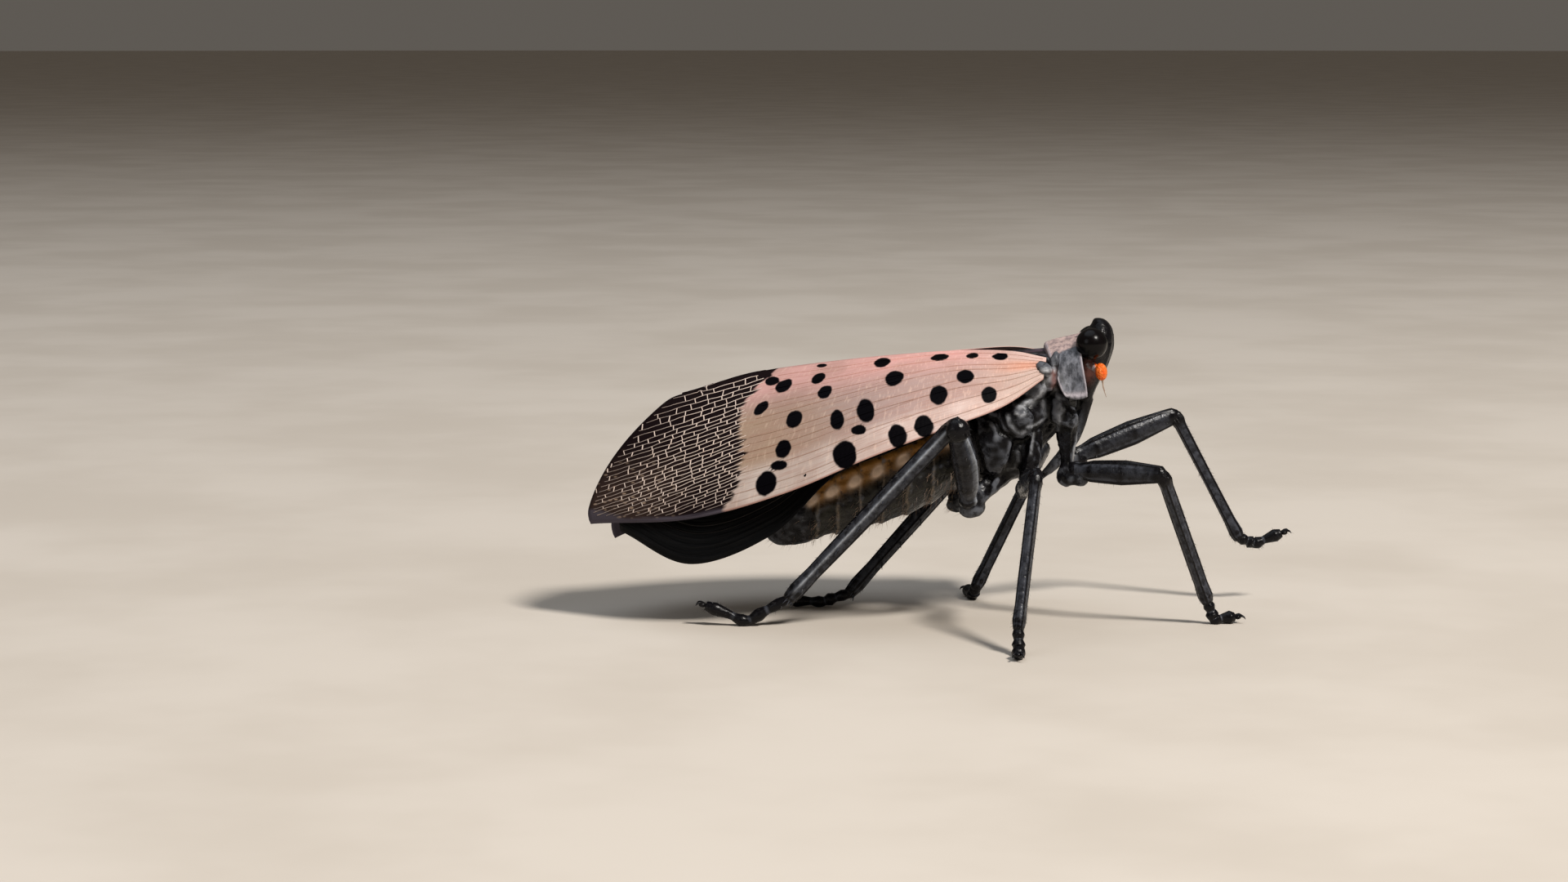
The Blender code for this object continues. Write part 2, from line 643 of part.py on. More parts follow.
def make_body(finishes):
    thorax = place("thorax", thorax_form(), finishes["body"])
    carve(thorax, [head_form(GAP)])
    abdomen = place("abdomen", abdomen_form(ABDOMEN_STATIONS), finishes["abdomen"])
    tip = place("abdomen_tip", abdomen_form(ABDOMEN_TIP_STATIONS), finishes["body"])
    pronotum = place("pronotum", pronotum_form(), finishes["pronotum"])
    sockets = [ball(on_head(EYE_CENTRE, side), EYE_RADIUS + GAP) for side in (RIGHT, LEFT)]
    carve(pronotum, [head_form(GAP)] + sockets)
    scutellum = place("scutellum", scutellum_form(), finishes["body"])
    beak = place("rostrum", tube(BEAK_PATH, BEAK_RADII), finishes["body"])
    return [thorax, abdomen, tip, pronotum, scutellum, beak]


def make_wings(finishes):
    made = []
    for side in (RIGHT, LEFT):
        tegmen = wing_form(TEGMEN_TOP, TEGMEN_BOTTOM, TEGMEN_ARCH, TEGMEN_END, TEGMEN_VEINS,
                           TEGMEN_STATIONS, side, TIP_SLIP[side])
        tegmen = place("tegmen_" + SIDE_NAMES[side], tegmen, finishes["tegmen"])
        hinge_high, hinge_low = (mirrored(p, -side) for p in TEGULA)
        fuse(tegmen, [limb(hinge_high, hinge_low, TEGULA_PROFILE)])
        carve(tegmen, [thorax_form(GAP)])
        hind = wing_form(HINDWING_TOP, HINDWING_BOTTOM, HINDWING_ARCH, HINDWING_END, HINDWING_VEINS,
                         HINDWING_STATIONS, side, TIP_SLIP[side])
        hind = place("hindwing_" + SIDE_NAMES[side], hind, finishes["hindwing"])
        carve(hind, [thorax_form(GAP)])
        made += [tegmen, hind]
    return made


def stand_on_origin(pieces):
    """Scale to metres and hang everything from one empty, centred over the origin."""
    lows = [min(v.co[k] for piece in pieces for v in piece.data.vertices) for k in range(2)]
    highs = [max(v.co[k] for piece in pieces for v in piece.data.vertices) for k in range(2)]
    carrier = bpy.data.objects.new("lanternfly", None)
    bpy.context.scene.collection.objects.link(carrier)
    carrier.location = [-0.5 * MM * (low + high) for low, high in zip(lows, highs)] + [0.0]
    for piece in pieces:
        piece.data.transform(Matrix.Scale(MM, 4))
        piece.data.shade_smooth()
        piece.data.set_sharp_from_angle(angle=CREASE)
        piece.parent = carrier


def main():
    clear_scene()
    finishes = {
        "body": material("charcoal_cuticle", (0.045, 0.045, 0.055), 0.55),
        "abdomen": material("abdomen_cuticle", (0.16, 0.13, 0.07), 0.6),
        "pronotum": material("pronotum_cuticle", (0.42, 0.34, 0.32), 0.6),
        "tegmen": material("tegmen_membrane", (0.62, 0.44, 0.38), 0.5),
        "hindwing": material("hindwing_membrane", (0.012, 0.012, 0.014), 0.45),
        "eye": material("eye_gloss", (0.008, 0.008, 0.008), 0.12),
        "antenna": material("antenna_orange", (0.9, 0.16, 0.02), 0.4),
    }
    pieces = make_head(finishes["body"], finishes["eye"], finishes["antenna"])
    pieces += make_body(finishes)
    pieces += make_wings(finishes)
    for stage, side in LEGS:
        pieces += make_leg(stage, side, finishes["body"])
    stand_on_origin(pieces)


main()
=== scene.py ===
# %% [markdown]
# # A spotted lanternfly, piece by piece
#
# The insect stands on a pale floor with its left foreleg lifted. The solids of the frame hold its true size
# and pose. This lesson dresses them: membranes with raised veins, a keeled cuticle, glossy eyes, ridged legs
# with spines, and short bristles. Lengths are typed in millimetres, in the drawing that the solids were made
# from, and become metres when a mesh is made.

# %% Load the frame
import math

import bmesh
import bpy
import numpy as np
from mathutils import Matrix, Vector, kdtree, noise


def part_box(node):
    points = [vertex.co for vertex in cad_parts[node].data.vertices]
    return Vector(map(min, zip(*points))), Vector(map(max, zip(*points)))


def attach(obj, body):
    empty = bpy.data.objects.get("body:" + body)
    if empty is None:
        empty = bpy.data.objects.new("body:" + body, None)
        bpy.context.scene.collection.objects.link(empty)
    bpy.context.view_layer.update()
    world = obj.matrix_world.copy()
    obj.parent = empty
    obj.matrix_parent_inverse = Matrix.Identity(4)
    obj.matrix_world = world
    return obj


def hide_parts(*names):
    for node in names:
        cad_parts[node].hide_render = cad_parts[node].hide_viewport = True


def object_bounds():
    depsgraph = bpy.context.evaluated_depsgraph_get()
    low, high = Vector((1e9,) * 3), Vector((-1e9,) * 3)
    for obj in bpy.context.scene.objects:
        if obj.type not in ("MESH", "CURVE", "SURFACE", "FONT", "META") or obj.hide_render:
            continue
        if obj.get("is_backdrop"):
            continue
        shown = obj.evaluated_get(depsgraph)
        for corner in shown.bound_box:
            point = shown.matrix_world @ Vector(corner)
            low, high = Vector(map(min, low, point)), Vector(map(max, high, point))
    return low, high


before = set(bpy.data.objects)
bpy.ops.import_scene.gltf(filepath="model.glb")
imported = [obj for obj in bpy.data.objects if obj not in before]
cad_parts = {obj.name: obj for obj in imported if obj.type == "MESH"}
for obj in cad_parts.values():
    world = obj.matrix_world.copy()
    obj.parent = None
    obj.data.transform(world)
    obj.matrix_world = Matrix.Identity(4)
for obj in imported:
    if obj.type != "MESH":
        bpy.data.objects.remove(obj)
CAD_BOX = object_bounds()
print("solids:", len(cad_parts), "box in mm:",
      [[round(1000 * v, 2) for v in corner] for corner in CAD_BOX])

# %% [markdown]
# The frame sits in the middle of its own footprint, while the drawing counts from between the middle legs.
# The shift between them is read from the right eye. The head is turned a little, so its left eye and antenna
# stand further forward and lower.

# %% From the drawing to the frame
MM = 0.001
UP = Vector((0, 0, 1))
RIGHT, LEFT = -1.0, 1.0
SIDES = {RIGHT: "right", LEFT: "left"}
EYE_CENTRE, EYE_RADIUS = Vector((6.83, 1.48, 12.42)), 0.70
HEAD_TURN = {RIGHT: Vector((0, 0, 0)), LEFT: Vector((0.30, -0.06, -0.14))}
LOW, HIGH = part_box("eye_right")
RIGHT_EYE = 0.5 * (Vector(LOW) + Vector(HIGH)) / MM
SHIFT = Vector((RIGHT_EYE.x - EYE_CENTRE.x, RIGHT_EYE.y + EYE_CENTRE.y, 0))
TURN = 2 * math.pi
print("drawing to frame, in mm:", tuple(round(v, 3) for v in SHIFT))

# %% [markdown]
# Small helpers serve every piece. They place drawn points, join rings into closed forms, draw the smooth
# curve that the solids use too, and write values to the points of a mesh.

# %% Helpers for points, rings and curves


def add_object(name, data, finish=None):
    made = bpy.data.objects.new(name, data)
    bpy.context.scene.collection.objects.link(made)
    if finish:
        data.materials.append(finish)
    return made


def place(name, points, faces, finish):
    """An object from points in the drawing's millimetres, its faces turned out."""
    mesh = bpy.data.meshes.new(name)
    placed = (np.asarray(points, dtype=float).reshape(-1, 3) + np.array(SHIFT)) * MM
    mesh.from_pydata(placed.tolist(), [], [tuple(face) for face in faces])
    form = bmesh.new()
    form.from_mesh(mesh)
    bmesh.ops.recalc_face_normals(form, faces=form.faces)
    form.to_mesh(mesh)
    form.free()
    mesh.shade_smooth()
    return add_object(name, mesh, finish)


def settle(made):
    """Keep the plain mesh that an object's modifiers make, and drop them."""
    bpy.context.view_layer.update()
    mesh = bpy.data.meshes.new_from_object(made.evaluated_get(bpy.context.evaluated_depsgraph_get()))
    made.modifiers.clear()
    made.data = mesh
    mesh.name = made.name
    return made


def note(made, name, values):
    """Write a number or a vector to each point."""
    values = np.asarray(values, dtype=np.float32)
    kind, field = ("FLOAT", "value") if values.ndim == 1 else ("FLOAT_VECTOR", "vector")
    made.data.attributes.new(name, kind, "POINT").data.foreach_set(field, values.ravel())


def give_uv(made, name, values):
    """A UV map from one place for each point."""
    corners = np.zeros(len(made.data.loops), dtype=np.int32)
    made.data.loops.foreach_get("vertex_index", corners)
    made.data.uv_layers.new(name=name).data.foreach_set("uv", values[corners].ravel().astype(np.float32))


def round_about(sides, point_at):
    """A ring of points, one for each of so many even turns."""
    return [point_at(TURN * k / sides) for k in range(sides)]


def loft(rings):
    """Points and faces of a closed form through rings of equal count."""
    count = len(rings[0])
    points = [point for ring in rings for point in ring]
    pairs = [(r * count + k, r * count + (k + 1) % count) for r in range(len(rings) - 1) for k in range(count)]
    faces = [(a, b, b + count, a + count) for a, b in pairs]
    for row, order in ((0, -1), (len(rings) - 1, 1)):
        points.append(sum((Vector(p) for p in rings[row]), Vector()) / count)
        faces += [(row * count + k, row * count + (k + 1) % count, len(points) - 1)[::order]
                  for k in range(count)]
    return points, faces


def slab(outer, inner):
    """Points and faces of a closed sheet between two like grids of points."""
    rows, columns = outer.shape[:2]
    number = np.arange(rows * columns).reshape(rows, columns)
    front = np.stack([number[:-1, :-1], number[1:, :-1], number[1:, 1:], number[:-1, 1:]], axis=-1)
    front = front.reshape(-1, 4)
    rim = np.concatenate([number[0, :], number[1:, -1], number[-1, -2::-1], number[-2:0:-1, 0]])
    follow = np.roll(rim, -1)
    edge = np.stack([rim, follow, follow + number.size, rim + number.size], axis=-1)
    points = np.concatenate([outer.reshape(-1, 3), inner.reshape(-1, 3)])
    return points, np.concatenate([front, front[:, ::-1] + number.size, edge]).tolist()


def join(forms):
    """Several sets of points and faces as one."""
    points, faces = [], []
    for more_points, more_faces in forms:
        faces += [tuple(len(points) + k for k in face) for face in more_faces]
        points += list(more_points)
    return points, faces


def smooth_curve(points, share):
    spans = len(points) - 1
    on = min(max(share, 0.0), 1.0) * spans
    k = min(int(on), spans - 1)
    t = on - k
    p1, p2 = Vector(points[k]), Vector(points[k + 1])
    p0 = Vector(points[k - 1]) if k > 0 else 2.0 * p1 - p2
    p3 = Vector(points[k + 2]) if k + 2 <= spans else 2.0 * p2 - p1
    bend = 2.0 * p0 - 5.0 * p1 + 4.0 * p2 - p3
    twist = 3.0 * (p1 - p2) + p3 - p0
    return 0.5 * (2.0 * p1 + (p2 - p0) * t + bend * t * t + twist * t ** 3)


def bell(values, middle, width):
    return np.exp(-((values - middle) / width) ** 2)


def across_sides(point, side):
    """A point drawn on the left side, or the same point on the side asked for."""
    return Vector((point[0], point[1] * side, point[2]))


def on_head(point, side):
    return across_sides(point, side) + HEAD_TURN[side]


def grain(point, scale, seed=0.0):
    """Smooth noise from -1 to 1 at a point, its bumps about 1 / scale mm wide."""
    return noise.noise(Vector(point) * scale + Vector((seed, seed * 0.7, -seed)))


EVERY_PIECE = {}


def finish_piece(made, nodes, slot):
    """Attach a piece to the root, hide the solids it stands for, and keep it on the list."""
    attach(made, "root")
    if nodes:
        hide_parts(*nodes)
    EVERY_PIECE[made.name] = len(made.data.polygons)
    print(made.name, "faces:", EVERY_PIECE[made.name])
    return made


print("helpers ready")

# %% [markdown]
# The photograph was taken almost level from the insect's right side. The camera stands 150 mm away, 7
# degrees above the level of the body, with a lens that gives 27.4 pixels to the millimetre. The light is
# plain and soft: a warm panel from the upper right for the sun, a wide cool one from above for the sky, and
# a weak one from the left. The plain display transform keeps the deep blacks of the photograph.

# %% Camera, light and display
CAMERA_PLACE, CAMERA_TILT = Vector((-6.734, -148.882, 26.200)), math.radians(83.0)
CAMERA_LENS, CAMERA_SENSOR, NEAREST = 77.06, 36.0, 0.001
AIR_COLOUR, AIR_STRENGTH = (0.80, 0.72, 0.63, 1.0), 0.14
camera = add_object("camera", bpy.data.cameras.new("camera"))
camera.location = (CAMERA_PLACE + SHIFT) * MM
camera.rotation_euler = (CAMERA_TILT, 0, 0)
camera.data.lens, camera.data.sensor_width, camera.data.clip_start = CAMERA_LENS, CAMERA_SENSOR, NEAREST
PANELS = (
    # name, place in m, width in m, power in W, colour
    ("sun_panel", (0.20, -0.24, 0.36), 0.09, 2.5, (1.0, 0.955, 0.90)),
    ("sky_panel", (-0.08, 0.02, 0.45), 0.45, 0.60, (0.80, 0.89, 1.0)),
    ("fill_panel", (-0.36, -0.34, 0.20), 0.25, 0.22, (0.92, 0.95, 1.0)))
BODY_MIDDLE = Vector((0, 0, 0.008))
for name, stand, width, power, colour in PANELS:
    panel = add_object(name, bpy.data.lights.new(name, "AREA"))
    panel.data.shape, panel.data.size = "DISK", width
    panel.data.energy, panel.data.color = power, colour
    panel.location = stand
    panel.rotation_euler = (BODY_MIDDLE - Vector(stand)).to_track_quat("-Z", "Y").to_euler()

scene = bpy.context.scene
scene.camera = camera
scene.world = bpy.data.worlds.new("studio")
scene.world.use_nodes = True
air = scene.world.node_tree.nodes["Background"]
air.inputs["Color"].default_value = AIR_COLOUR
air.inputs["Strength"].default_value = AIR_STRENGTH
scene.view_settings.view_transform, scene.view_settings.look = "Standard", "None"
print("camera at", [round(v, 4) for v in camera.location], "panels:", len(PANELS))

# %% [markdown]
# Every finish is a small tree of shader nodes. Here a socket is a `Value`, so that a finish can be written as
# sums, products and smooth steps instead of nodes linked by hand. All patterns read the Object coordinates,
# turned back into the drawing's millimetres, or an attribute of the mesh, so they stay put on the insect.

# %% A helper for finishes


def node_with(tree, kind, values=(), **settings):
    """A node with its settings, and with its inputs fed by name or number."""
    node = tree.nodes.new(kind)
    for name, value in settings.items():
        setattr(node, name, value)
    for key, value in dict(values).items():
        feed(tree, node.inputs[key], value)
    return node


def feed(tree, socket, value):
    """Link a socket, or set its own value."""
    value = getattr(value, "socket", value)
    if isinstance(value, bpy.types.NodeSocket):
        tree.links.new(value, socket)
    else:
        socket.default_value = (*value, 1.0) if socket.type == "RGBA" else value


class Value:
    """A socket of a finish, which can be reckoned with."""

    def __init__(self, tree, socket):
        self.tree, self.socket = tree, socket

    def through(self, kind, values, out=0, **settings):
        return Value(self.tree, node_with(self.tree, kind, values, **settings).outputs[out])

    def math(self, operation, other=0.0):
        return self.through("ShaderNodeMath", {0: self, 1: other}, operation=operation)

    def __add__(self, other):
        return self.math("ADD", other)

    def __sub__(self, other):
        return self.math("SUBTRACT", other)

    def __mul__(self, other):
        return self.math("MULTIPLY", other)

    def rest(self):
        """What is left to 1."""
        return self.through("ShaderNodeMath", {0: 1.0, 1: self}, operation="SUBTRACT")

    def ease(self, low, high, out_low=0.0, out_high=1.0):
        """A smooth step from low to high."""
        return self.through("ShaderNodeMapRange", {0: self, 1: low, 2: high, 3: out_low, 4: out_high},
                            interpolation_type="SMOOTHSTEP")

    def between(self, first, second, blend="MIX"):
        """The colour that lies this share of the way from the first to the second."""
        return self.through("ShaderNodeMix", {0: self, 6: first, 7: second}, 2, data_type="RGBA",
                            blend_type=blend)

    def times(self, *factors):
        return self.through("ShaderNodeVectorMath", {0: self, 1: factors}, operation="MULTIPLY")

    def parts(self):
        node = node_with(self.tree, "ShaderNodeSeparateXYZ", {0: self})
        return [Value(self.tree, socket) for socket in node.outputs]

    def noise(self, scale, detail=3.0, roughness=0.55):
        return self.through("ShaderNodeTexNoise", {"Vector": self, "Scale": scale, "Detail": detail,
                                                   "Roughness": roughness})

    def cells(self, scale):
        return self.through("ShaderNodeTexVoronoi", {"Vector": self, "Scale": scale}, "Distance")


class Recipe:
    """Builds one finish."""

    def __init__(self, name):
        self.material = bpy.data.materials.new(name)
        self.material.use_nodes = True
        self.tree = self.material.node_tree
        shared = node_with(self.tree, "ShaderNodeTexCoord").outputs["Object"]
        self.drawing = Value(self.tree, node_with(self.tree, "ShaderNodeVectorMath", {
            0: shared, 1: (1.0 / MM,) * 3, 2: tuple(-SHIFT)}, operation="MULTIPLY_ADD").outputs[0])

    def attribute(self, name, out="Fac"):
        return Value(self.tree, node_with(self.tree, "ShaderNodeAttribute", attribute_name=name).outputs[out])

    def whole(self, x, y):
        return x.through("ShaderNodeCombineXYZ", {0: x, 1: y})

    def bump(self, height, distance, strength):
        """Relief of a depth in mm."""
        return height.through("ShaderNodeBump", {
            "Strength": strength, "Distance": distance * MM, "Height": height})

    def finish(self, **values):
        """Feed the shader by its socket names, written with underscores."""
        for name, value in values.items():
            feed(self.tree, self.tree.nodes["Principled BSDF"].inputs[name.replace("_", " ")], value)
        return self.material


print("a finish has its own tree of nodes, its lengths in mm")

# %% [markdown]
# The floor is a wide pale disc of smooth plaster. It only carries the insect's shadow and a little warm
# light back to its belly, so it has a faint mottling and no relief.

# %% Floor
FLOOR_RADIUS = 4.0
FLOOR_COLOUR, FLOOR_SHADE = (0.66, 0.60, 0.53), (0.60, 0.54, 0.47)

plaster = Recipe("pale_plaster")
mottling = plaster.drawing.noise(0.05, 4.0).ease(0.35, 0.65)
plaster.finish(Base_Color=mottling.between(FLOOR_COLOUR, FLOOR_SHADE),
               Roughness=0.85, Specular_IOR_Level=0.15)
floor_mesh = bpy.data.meshes.new("floor")
disc = bmesh.new()
bmesh.ops.create_circle(disc, cap_ends=True, radius=FLOOR_RADIUS, segments=96)
disc.to_mesh(floor_mesh)
disc.free()
add_object("floor", floor_mesh, plaster.material)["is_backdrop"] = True
print("floor radius in m:", FLOOR_RADIUS)

# %% [markdown]
# ## Forewings
#
# A lanternfly's forewing, the tegmen, is a stiff, gently arched membrane folded like one side of a roof.
# It runs between two edges: the upper one along the back and the lower, leading one along the side. The
# same two curves carry the solid, so the membrane lies in it, only thinner and with the upper edges of the
# two wings brought together over the back.

# %% The wing surface
WINGS = {
    "tegmen": dict(
        top=((4.80, -1.98, 11.86), (3.30, -1.08, 12.07), (1.00, -0.06, 12.00), (-2.00, -0.03, 11.78),
             (-5.00, -0.03, 11.46), (-8.00, -0.03, 11.03), (-10.80, -0.05, 10.40)),
        bottom=((4.62, -2.76, 10.98), (2.80, -3.58, 9.86), (0.20, -4.50, 8.98), (-3.00, -5.10, 7.83),
                (-6.80, -5.20, 6.25), (-10.90, -4.20, 5.00), (-15.42, -1.20, 4.42)),
        arch=0.16, end=0.72, belly=0.30, wall=0.10, length=19.5, rows=170, columns=84),
    "hindwing": dict(
        top=((2.60, -1.50, 10.60), (0.80, -0.40, 10.75), (-1.80, -0.16, 10.60), (-4.20, -0.16, 10.35),
             (-6.40, -0.16, 10.00), (-8.40, -0.16, 9.65), (-10.20, -0.16, 9.20)),
        bottom=((2.40, -2.40, 9.90), (0.30, -3.15, 8.85), (-2.20, -3.65, 7.85), (-4.60, -3.80, 6.80),
                (-7.30, -3.60, 4.20), (-10.90, -2.80, 2.80), (-14.10, -1.20, 4.10)),
        arch=0.10, end=0.42, belly=0.0, wall=0.08, length=16.0, rows=110, columns=60),
}
ARCH_FADE = 0.75
TIP_SLIP = {RIGHT: (0.0, 0.0, 0.0), LEFT: (0.95, 0.0, -1.00)}
CORNER_CUT, CORNER_REACH = (0.40, 0.12), (0.09, 0.03)


def curve_at(points, share):
    """smooth_curve for a whole array of shares."""
    points = np.array(points)
    spans = len(points) - 1
    on = np.clip(share, 0.0, 1.0) * spans
    k = np.minimum(on.astype(int), spans - 1)
    t = (on - k)[..., None]
    extended = np.vstack([2 * points[0] - points[1], points, 2 * points[-1] - points[-2]])
    p0, p1, p2, p3 = (extended[k + n] for n in range(4))
    bend = 2 * p0 - 5 * p1 + 4 * p2 - p3
    twist = 3 * (p1 - p2) + p3 - p0
    return 0.5 * (2 * p1 + (p2 - p0) * t + bend * t * t + twist * t ** 3)


def unit(vectors):
    return vectors / np.maximum(np.linalg.norm(vectors, axis=-1, keepdims=True), 1e-9)


def wing_width(shape, along):
    return np.linalg.norm(curve_at(shape["bottom"], along) - curve_at(shape["top"], along), axis=-1)


def wing_at(shape, side, along, across):
    """Points of a wing's outer face, for shares of its length and of its width."""
    high = curve_at(shape["top"], along)
    chord = curve_at(shape["bottom"], along) - high
    nothing = np.zeros(chord.shape[:-1])
    outward = unit(np.stack([nothing, chord[..., 2], -chord[..., 1]], axis=-1))
    rearward = unit(np.stack([chord[..., 2], nothing, -chord[..., 0]], axis=-1))
    crown = np.maximum(np.sin(np.pi * across), 0.0)[..., None]
    swell = (shape["arch"] * (1.0 - ARCH_FADE * along ** 3))[..., None]
    swell = swell * np.linalg.norm(chord, axis=-1, keepdims=True)
    bulge = (shape["end"] * crown ** 0.5 + shape["belly"] * crown * across[..., None]) * along[..., None] ** 5
    drift = np.array(TIP_SLIP[side]) * (along ** 4 * across)[..., None]
    cut = (CORNER_CUT[0] * bell(across, 0.0, CORNER_REACH[0])
           + CORNER_CUT[1] * bell(1.0 - across, 0.0, CORNER_REACH[1])) * along ** 14
    points = (high + chord * across[..., None] + outward * swell * crown
              + rearward * (bulge - cut[..., None]) + drift)
    return points * np.array([1.0, -side, 1.0])


def wing_normal(shape, side, along, across, step=0.004):
    ahead = (wing_at(shape, side, np.minimum(along + step, 1.0), across)
             - wing_at(shape, side, np.maximum(along - step, 0.0), across))
    down = (wing_at(shape, side, along, np.minimum(across + step, 1.0))
            - wing_at(shape, side, along, np.maximum(across - step, 0.0)))
    normal = unit(np.cross(down, ahead))
    return normal * np.where(normal[..., 1] * side < 0.0, -1.0, 1.0)[..., None]


def shares_grid(rows, columns, first=0.0):
    return np.meshgrid(np.linspace(first, 1.0, rows), np.linspace(0.0, 1.0, columns), indexing="ij")


print("length of a tegmen in mm:", WINGS["tegmen"]["length"])

# %% [markdown]
# The spots are round to squarish, each a little different. They are listed by their middle and half size as
# seen from the side. Near the back the wing lies flat, so there each spot is spread on the surface itself
# and looks round from above too. Each point of the mesh carries its distance from the nearest spot, and a
# little noise roughens the outlines. Both wings carry them alike.

# %% Spots
SPOTS = (
    # middle x, middle z, half width, half height, lean in degrees
    (-2.39, 11.55, 0.37, 0.20, 8), (0.16, 11.78, 0.39, 0.18, 0), (1.58, 11.88, 0.27, 0.14, 6),
    (2.78, 11.88, 0.36, 0.13, 18), (-1.89, 11.02, 0.41, 0.29, 0), (1.19, 11.13, 0.37, 0.27, -8),
    (-0.01, 10.40, 0.39, 0.42, 0), (2.20, 10.37, 0.35, 0.35, 0), (-5.21, 10.89, 0.30, 0.20, 12),
    (-4.93, 10.41, 0.33, 0.26, 22), (-3.20, 9.74, 0.38, 0.50, 14), (-4.43, 9.32, 0.31, 0.42, 12),
    (-3.51, 8.95, 0.35, 0.20, 8), (-6.74, 10.55, 0.34, 0.27, 32), (-7.27, 10.72, 0.32, 0.17, 26),
    (-7.75, 9.68, 0.28, 0.29, -10), (-6.31, 9.31, 0.35, 0.36, 0), (-6.78, 8.09, 0.35, 0.37, 0),
    (-6.95, 7.42, 0.37, 0.20, 14), (-7.52, 6.66, 0.46, 0.52, -10), (-4.10, 7.92, 0.53, 0.58, 10),
    (-1.81, 8.69, 0.41, 0.49, 14), (-0.66, 9.13, 0.42, 0.44, 10), (-5.85, 7.05, 0.09, 0.10, 0),
    (-5.06, 11.34, 0.24, 0.07, 8), (-7.95, 11.00, 0.80, 0.14, 11), (-5.88, 9.86, 0.07, 0.05, 0))
SPOT_EDGE, SPOT_WAVER, STEEPEST = 0.10, 0.45, 0.34


def spot_frames():
    """Each spot's middle on the right wing, the two ways it spreads on the surface, and its half sizes."""
    along, across = shares_grid(500, 160)
    surface, normal = (find(WINGS["tegmen"], RIGHT, along, across) for find in (wing_at, wing_normal))
    down = unit(np.gradient(surface, axis=1))
    frames = []
    for middle_x, middle_z, half_width, half_height, lean in SPOTS:
        reach = np.hypot(surface[..., 0] - middle_x, surface[..., 2] - middle_z)
        at = np.unravel_index(np.argmin(reach), reach.shape)
        fall = down[at]
        ahead = np.cross(fall, normal[at])
        ahead = ahead * np.sign(ahead[0])
        turn = math.radians(lean) * (1.0 if abs(fall[2]) > 0.6 else 0.0)
        frames.append((surface[at], ahead * math.cos(turn) - fall * math.sin(turn),
                       fall * math.cos(turn) + ahead * math.sin(turn), half_width,
                       half_height / max(abs(fall[2]), STEEPEST)))
    return frames


SPOT_FRAMES = spot_frames()


def spot_distance(points):
    """The smallest of the spots' own distances at each point of the drawing: below 1 inside a spot."""
    points = points * (1.0, -1.0, 1.0) * np.where(points[:, 1:2] > 0.0, 1.0, (1.0, -1.0, 1.0))
    nearest = np.full(len(points), 9.0)
    for middle, ahead, fall, half_width, tall in SPOT_FRAMES:
        away = points - middle
        nearest = np.minimum(nearest, np.hypot(away @ ahead / half_width, away @ fall / tall))
    return nearest


print("spots on each wing:", len(SPOTS))

# %% [markdown]
# The rosy part of the wing ends in a wavy line, beyond which the membrane is dark and netted. Each point
# of the mesh carries its distance from that line and from the two edges, so that the finish and the net
# agree on where they change.

# %% Membranes
NET_BORDER = ((0.0, 0.775), (0.12, 0.79), (0.30, 0.805), (0.51, 0.785), (0.68, 0.76), (0.85, 0.755),
              (1.0, 0.768))


def net_border(across):
    """Share of the length at which the netted part starts."""
    return np.interp(across, *zip(*NET_BORDER))


def wing_field(shape, along, across):
    """Distances in mm from the border, from the upper and from the leading edge."""
    width = wing_width(shape, along)
    from_border = (along - net_border(across)) * shape["length"]
    return np.stack([from_border, across * width, (1.0 - across) * width], axis=-1)


def membrane(kind, side, finish):
    shape = WINGS[kind]
    along, across = shares_grid(shape["rows"], shape["columns"])
    outer = wing_at(shape, side, along, across)
    thin = np.minimum(1.0, 0.25 + 5.0 * np.minimum(across, 1.0 - across))[..., None]
    points, faces = slab(outer, outer - wing_normal(shape, side, along, across) * shape["wall"] * thin)
    made = place("%s_%s_membrane" % (kind, SIDES[side]), points, faces, finish)
    note(made, "field", np.tile(wing_field(shape, along, across).reshape(-1, 3), (2, 1)))
    note(made, "spots", spot_distance(points))
    give_uv(made, "membrane", np.tile(np.stack([along, across], axis=-1).reshape(-1, 2), (2, 1)))
    return finish_piece(made, ["%s_%s" % (kind, SIDES[side])], kind)


print("places that set the net's border:", len(NET_BORDER))

# %% [markdown]
# The membrane's colours run from rosy along the back to greyish cream along the leading edge, with a peach
# root and a tan stretch before the net. Fine streaks follow the wing's length. Beyond the border it is
# almost black between the pale veins, browner and speckled low down towards the tip, with a smooth
# purple-grey leading margin.

# %% Membrane finish
ROSE, FAWN, CREAM = (0.55, 0.315, 0.29), (0.31, 0.232, 0.212), (0.52, 0.45, 0.415)
TAN, PEACH, PALE_ROOT = (0.33, 0.235, 0.17), (0.46, 0.24, 0.165), (0.43, 0.37, 0.325)
CLOUD, STREAK = (0.30, 0.20, 0.165), (0.30, 0.15, 0.11)
HATCH, VEIN_BROWN = (0.78, 0.60, 0.48), (0.42, 0.22, 0.13)
SPOT_BLACK, CELL_BLACK, CELL_BROWN = (0.0015, 0.0012, 0.002), (0.0075, 0.0040, 0.0045), (0.045, 0.028, 0.023)
SPECKLE, MARGIN_GREY, EDGE_PINK = (0.36, 0.26, 0.19), (0.072, 0.062, 0.078), (0.40, 0.20, 0.16)
TOWARDS_ROOT, STRIP_WIDTH, ROW_RISE = (1.52, 1.41, 1.42), 6.5, 0.33

